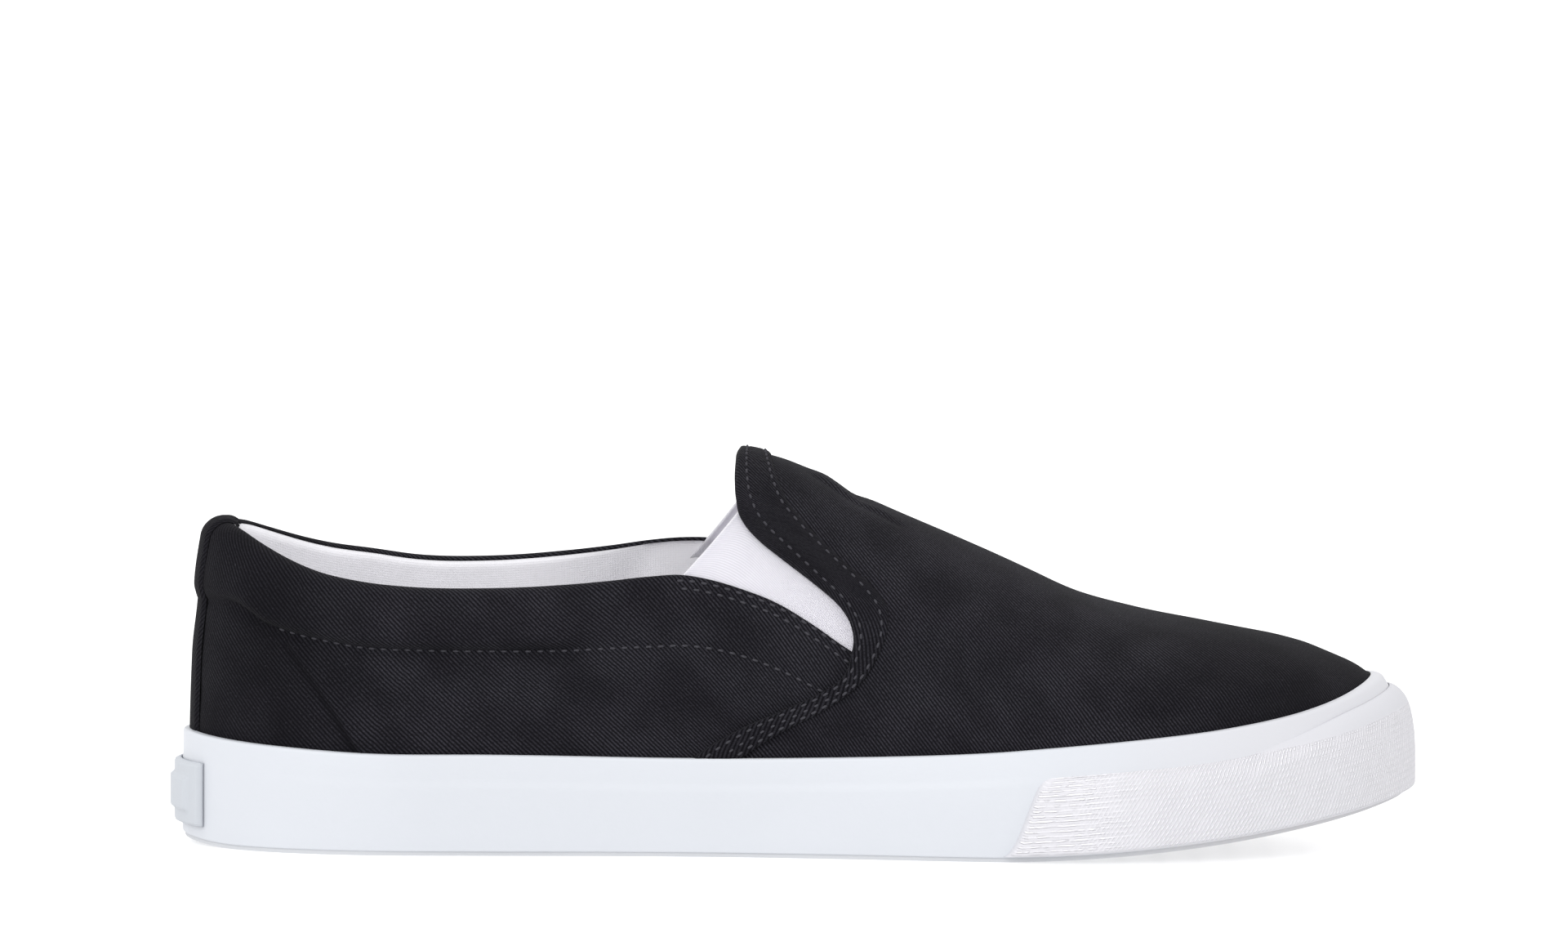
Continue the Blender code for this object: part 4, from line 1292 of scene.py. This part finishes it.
# %% Stitches
FOOT_LIFT = 0.30                  # below this lift a third row holds the strip down
FOOT_ROW = 0.56
SUNK = 0.00012                    # the bars lie this deep in the strip
EDGE_SUNK = 0.00005               # and this deep in the quarter's edge


def outward(points, side):
    """Direction away from the shoe's middle plane, tilted up a little."""
    return np.broadcast_to((0.0, float(side), 0.15), points.shape)


sewn = []
for line_side in (-1, 1):
    line = quarter_line(line_side, COLLAR_ROW, 200, COLLAR_GROOVE[0] - THREAD)
    sewn.append((line, outward(line, line_side)))
    for drop in EDGE_ROWS:
        line = edge_line(line_side, drop, 120)
        sewn.append((line - EDGE_SUNK * outward(line, line_side), outward(line, line_side)))
strip_grow = VAMP_PROUD + CLEAR + BAND - SUNK
for across in BAND_ROWS:
    line = band_point(band_side, band_lift, across, strip_grow)
    up = normal(band_side, turn_of(band_share(band_lift, across)), band_lift)
    line = line - up * tip_drop(band_share(band_lift, across), band_lift)[:, None]
    sewn.append((line, up))
foot_row = band_point(band_side, band_lift, FOOT_ROW, strip_grow)
for line_side in (-1, 1):
    foot = (band_side == line_side) & (band_lift < FOOT_LIFT)
    sewn.append((foot_row[foot], up[foot]))
sew("stitches", sewn)

# %% [markdown]
# ## Rubber tapes
# The sole's side is a white rubber tape, rolled on with a thinner band along its top
# edge, and a second, textured tape goes round the toe.  Each is a closed section
# swept round the outline.  Real tape is never quite flat, so it gets a slow waviness.

# %% Rubber finishes
def rubber(name, colour, roughness, cloud=0.97):
    """Smooth rubber: faint clouds, less blue towards the toe, and a fine pebble in the gloss."""
    made = Finish(name, roughness, 0.40)
    place = made.place()
    clouds = made.noise(0.025, place, 3.0)
    low = tuple(cloud * c for c in colour[:3]) + (1.0,)
    warm = (colour[0], 0.97 * colour[1], 0.96 * colour[2], 1.0)
    toe = made.along_shoe().between(0.05, 0.12)
    made.colour(made.blend(toe, made.blend(clouds, low, colour), warm))
    made.bump(made.noise(0.0012, place, 2.0), 0.00006, 0.5)
    made.bump(clouds, 0.0008, 0.4)
    return made


foxing_rubber = rubber("foxing_rubber", paint(205, 208, 214), 0.42)
sole_rubber = rubber("sole_rubber", paint(200, 202, 206), 0.60)
label_rubber = rubber("label_rubber", paint(190, 194, 200), 0.50)
print("side tape, sole and label each have their own rubber")

# %% Tape round the side
RING_STEPS = 230
STEP_SLOPE = 0.0013               # the step under the top band fades out over this much
TAPE_RADII = (0.0002, 0.001, 0.0002, 0.0008, 0.0006, 0.0006, 0.0015, 0.0015, 0.0004)
TAPE_WAVES = (0.060, 0.00012)     # wavelength and depth of its unevenness
ring_side, ring_turn = ring_stations(RING_STEPS)
ring_share = share_of(ring_turn)


def rounded_profile(corners, radii, steps=5):
    """Closed section through corners, each replaced by an arc-like curve of its radius.

    Corners and radii vary from station to station: arrays (corner, station, 2).  The
    curve at a corner is a quadratic one between points a radius away on both sides.
    """
    before = np.roll(corners, 1, axis=0) - corners
    after = np.roll(corners, -1, axis=0) - corners
    before /= np.linalg.norm(before, axis=-1, keepdims=True)
    after /= np.linalg.norm(after, axis=-1, keepdims=True)
    radii = np.asarray(radii)[:, None, None]
    t = np.linspace(0, 1, steps)[:, None, None, None]
    curve = corners + (1 - t) ** 2 * before * radii + t ** 2 * after * radii
    return np.moveaxis(curve, 0, 1).reshape(-1, *corners.shape[1:])


def ring_length(side, turn):
    """Distance round the outline, with one more value that closes the ring."""
    x, y = outline(side, turn)
    points = np.stack((x, y), axis=-1)
    return travelled(np.concatenate((points, points[:1])))


tape_low = sole_bottom(ring_share) + SOLE_LIP
tape_top = foxing_top(ring_share)
tape_step = tape_top - TAPE_DEPTH
step_shown = 0.20 + 0.40 * ramp((ring_share - 0.12) / 0.12) * ramp((0.70 - ring_share) / 0.05)
step_shown = step_shown + 0.80 * ramp((ring_share - 0.90) / 0.06)
thin = FOXING - TAPE_STEP * step_shown
below_step = tape_step - tape_low
tape_section = [
    (tape_low, 0.0), (tape_low + (tape_top - tape_low) * 0.5, 0.0), (tape_top, 0.0),
    (tape_top, thin), (tape_step + TAPE_STEP, thin), (tape_step - STEP_SLOPE, FOXING),
    (tape_low + below_step * 0.66, FOXING), (tape_low + below_step * 0.33, FOXING), (tape_low, FOXING),
]
tape_corners = np.stack([np.stack((height, np.broadcast_to(grow, height.shape)), axis=-1)
                         for height, grow in tape_section])
tape = rounded_profile(tape_corners, TAPE_RADII)
tape_height, tape_grow = tape[..., 0].T, tape[..., 1].T
tape_place = (ring_side[:, None], ring_turn[:, None], tape_height)
uneven = waves(at_height(*tape_place, tape_grow + GAP), *TAPE_WAVES) * (tape_grow > FOXING / 2)
body("side_tape", at_height(*tape_place, tape_grow + GAP + uneven), ring_length(ring_side, ring_turn),
     foxing_rubber, ["foxing"], ring=True)

# %% Textured rubber
STEEP_PITCH = 0.00105             # steep dashes at the toe, broken into rows
ROW_PITCH = 0.00150
LEVEL_PITCH = 0.00127             # level dashes near the tape's ends
DASH_RELIEF = 0.00036


def dashed(name):
    """Toe rubber with raised dashes, a sine of u - 0.36 v at the toe and of v near the ends.

    They fade to a plain border along the tape's edges, where "margin" is small.  The
    raised dashes are painted much lighter than the rubber round them: a painted
    highlight on their tops.
    """
    made = Finish(name, 0.55, 0.35)
    u, v = made.uv()
    plane = made.join(u, v)
    wander = made.noise(0.004, plane, 3.0) * 0.0009
    stroke = (u - 0.36 * v + wander).wave(STEEP_PITCH).between(0.30, 0.85)
    row = (v + 0.5 * wander).wave(ROW_PITCH).between(0.05, 0.45)
    steep = stroke * (0.50 + 0.50 * row)
    line = (v + 0.5 * wander).wave(LEVEL_PITCH).between(0.30, 0.85)
    broken = made.noise(0.0012, made.join(0.45 * u, v), 1.0).between(0.42, 0.56)
    level = line * (0.30 + 0.70 * broken)
    at_front = made.along_shoe().between(0.060, 0.088)
    patches = made.noise(0.005, plane, 2.0).between(0.30, 0.62)
    dashes = steep * at_front + level * (1.0 - at_front)
    margin = made.mark("margin")
    raised = dashes * (0.50 + 0.50 * patches) * margin.between(0.0010, 0.0024)
    plain = made.blend(margin.between(0.0, 0.0030), paint(205, 205, 210), paint(210, 209, 214))
    # painted highlight: the raised dashes take a far lighter colour than the plain rubber
    made.colour(made.blend(raised, plain, paint(243, 242, 247)))
    made.bump(raised, DASH_RELIEF, 1.0)
    made.bump(made.noise(0.0012, plane, 2.0), 0.00005, 0.5)
    return made


bumper_rubber = dashed("bumper_rubber")
print("dashes are", STEEP_PITCH * 1000, "mm apart at the toe,", LEVEL_PITCH * 1000, "mm at the ends")

# %% Tape round the toe
TOE_STEPS = 170
BUMPER_LEVELS = 36
TOE_THINNING = 0.0050             # the toe tape thins out over this much along its upper edge
TOE_END = 0.0026                  # and over this much at its two ends
TOE_LIFT = 0.0032                 # at the toe the tape climbs this much nearer the top
TOE_SUNK = 0.0002                 # its thin edge sinks this far into the side tape
TOE_SOFT = 0.0008                 # rounding of its lower edge
toe_side, toe_away = around_end(TOE_STEPS)
toe_level = np.linspace(0, 1, BUMPER_LEVELS + 1)
toe_start = turn_of(BUMPER_LOW + (BUMPER_HIGH - BUMPER_LOW) * toe_level)
toe_turn = 1 - (1 - toe_start) * toe_away[:, None]
toe_share = share_of(toe_turn)
toe_low = sole_bottom(toe_share) + SOLE_LIP + GAP
texture_top = foxing_top(toe_share) - TAPE_DEPTH + TAPE_STEP
at_toe = ramp((toe_share - 0.86) / 0.10)
toe_high = texture_top + TOE_LIFT * at_toe
toe_height = toe_low + (toe_high - toe_low) * (0.5 - 0.5 * np.cos(pi * toe_level))
end_away = (toe_share - BUMPER_LOW - (BUMPER_HIGH - BUMPER_LOW) * toe_level) * UPPER_LENGTH
soft_edge = 0.6 + 0.4 * rounding((toe_height - toe_low) / TOE_SOFT)
below = (toe_high - toe_height) / TOE_THINNING
thinned = ramp(below) * (1 - at_toe) + rounding(below) * at_toe
thinned = thinned * ramp(0.25 + end_away / TOE_END)
toe_outer = TAPE_GROW - TOE_SUNK + (GAP + BUMPER + TOE_SUNK) * soft_edge * thinned
toe_front = at_height(toe_side[:, None], toe_turn, toe_height, toe_outer)
toe_back = at_height(toe_side[:, None], toe_turn, toe_height, TAPE_GROW - 2 * TOE_SUNK)
toe_length = travelled(toe_front[:, BUMPER_LEVELS // 2])
toe_margin = np.minimum(toe_height - toe_low, texture_top - toe_height)
toe_margin = np.minimum(3 * toe_margin, 2 * end_away)
body("toe_tape", there_and_back(toe_front, toe_back), toe_length - toe_length[TOE_STEPS], bumper_rubber,
     ["toe_bumper"], marks={"margin": there_and_back(toe_margin, toe_margin)})

# %% [markdown]
# ## Heel label
# A small rubber plate sits on the back of the tape.  It could be a bevelled box, but
# the heel is curved, so it is a grid laid on the last: one formula lifts the plate,
# rounds its border and raises its middle.

# %% Heel label
LABEL_GRID = (80, 34)
LABEL_SOFT = 0.0009               # rounding of the plate's edge
LABEL_SLOPE = 0.0012              # the raised middle climbs over this much
label_across = np.linspace(1, -1, LABEL_GRID[0] + 1) * LABEL_WIDTH / 2
label_up = np.linspace(LABEL_LOW, LABEL_HIGH, LABEL_GRID[1] + 1)
label_side = np.where(label_across > 0, -1, 1)
label_turn = np.where(label_across > 0, turn_at_reach(-1, np.abs(label_across)),
                      turn_at_reach(1, np.abs(label_across)))
border = np.minimum((LABEL_WIDTH / 2 - np.abs(label_across))[:, None],
                    np.minimum(label_up - LABEL_LOW, LABEL_HIGH - label_up))
label_outer = BUMPER_GROW + LABEL_PLATE * (0.3 + 0.7 * rounding(border / LABEL_SOFT))
label_outer = label_outer + LABEL_RISE * ramp((border - LABEL_BORDER + LABEL_SLOPE / 2) / LABEL_SLOPE)
label_place = (label_side[:, None], label_turn[:, None], np.broadcast_to(label_up, label_outer.shape))
label_loops = there_and_back(at_height(*label_place, label_outer), at_height(*label_place, BUMPER_GROW))
body("heel_plate", label_loops, travelled(label_loops[:, 10]), label_rubber,
     ["heel_label"])

# %% [markdown]
# ## Sole and foot bed
# Under the tapes lies the outsole, whose edge shows as a thin grey line above the
# floor.  Its tread is cut by a formula: bars across the sole at the frame's pitch.
# The foot bed inside is a cloth-covered cushion with a slightly raised rim.

# %% Outsole
GROOVE_WIDTH = 0.0022
GROOVE_DEPTH = 0.0012
GROOVE_PITCH = 0.0090
GROOVE_MARGIN = 0.0085
GROOVE_SOFT = 0.0006              # width of the soft shoulders
HEEL_TREAD = (0.07, 0.30)
BALL_TREAD = (0.48, 0.93)
SOLE_ROWS = 560
SOLE_ACROSS = 60
SOLE_BACK = 0.0006                # the sole's edge lies this far behind the tape's face
EDGE_RISE = 0.0004                # and its lowest line is rounded up by this much


def plate_grid(rows, columns, grow):
    """Points of the outline's inside, as rows along the sole and columns across it."""
    turn = np.linspace(0, 1, rows + 1)
    share = share_of(turn)
    low = at_height(-1, turn, feather(share), grow)
    high = at_height(1, turn, feather(share), grow)
    across = 0.5 - 0.5 * np.cos(pi * np.linspace(0, 1, columns + 1))
    return share, low[:, None] + (high - low)[:, None] * across[:, None]


def groove_cut(points):
    """Depth of the tread at each point: bars with soft shoulders inside a plain border."""
    depth = np.zeros(points.shape[:2])
    x = points[..., 0]
    low = points[:, :1, 1] + GROOVE_MARGIN
    high = points[:, -1:, 1] - GROOVE_MARGIN
    inside = ramp((points[..., 1] - low) / GROOVE_SOFT) * ramp((high - points[..., 1]) / GROOVE_SOFT)
    for start, end in (HEEL_TREAD, BALL_TREAD):
        count = int((end - start) * UPPER_LENGTH / GROOVE_PITCH) + 1
        for bar in HEEL_X + start * UPPER_LENGTH + np.arange(count) * GROOVE_PITCH:
            near = ramp((GROOVE_WIDTH / 2 + GROOVE_SOFT / 2 - np.abs(x - bar)) / GROOVE_SOFT)
            depth = np.maximum(depth, GROOVE_DEPTH * near * inside)
    return depth


sole_share, sole_flat = plate_grid(SOLE_ROWS, SOLE_ACROSS, TAPE_GROW - SOLE_BACK)
sole_edge = np.isin(np.arange(SOLE_ACROSS + 1), (0, SOLE_ACROSS))
bottom_face = sole_flat.copy()
bottom_face[..., 2] = sole_bottom(sole_share)[:, None] + groove_cut(sole_flat) + EDGE_RISE * sole_edge
lip_face = sole_flat.copy()
lip_face[..., 2] = sole_bottom(sole_share)[:, None] + SOLE_LIP
body("outsole_rubber", there_and_back(bottom_face, lip_face), sole_flat[:, 0, 0], sole_rubber,
     ["outsole"], sharp=pi / 5)

# %% Foot bed
INSOLE_ROWS = 200
INSOLE_ACROSS = 40
BED_RIM = 0.0012                  # the rim curls up by this much
BED_HOLLOW = 0.0006               # the middle sinks by this much
BED_DROP = 0.0006                 # and the whole face lies this much lower than the frame's
insole_cloth = cotton("insole_cloth", paint(224, 223, 226), 0.0007)
bed_share, bed_edge = plate_grid(INSOLE_ROWS, INSOLE_ACROSS, -(WALL + GAP))
place_across = np.linspace(-1, 1, INSOLE_ACROSS + 1)
dish = BED_RIM * np.abs(np.sin(pi / 2 * place_across)) ** 6 - BED_HOLLOW * (1 - place_across ** 2)
bed_top = bed_edge.copy()
bed_top[..., 2] = feather(bed_share)[:, None] + INSOLE - BED_DROP + dish
bed_low = bed_edge.copy()
bed_low[..., 2] = feather(bed_share)[:, None]
foot_bed = body("foot_bed", there_and_back(bed_top, bed_low), bed_edge[:, 0, 0], insole_cloth,
                ["insole"])
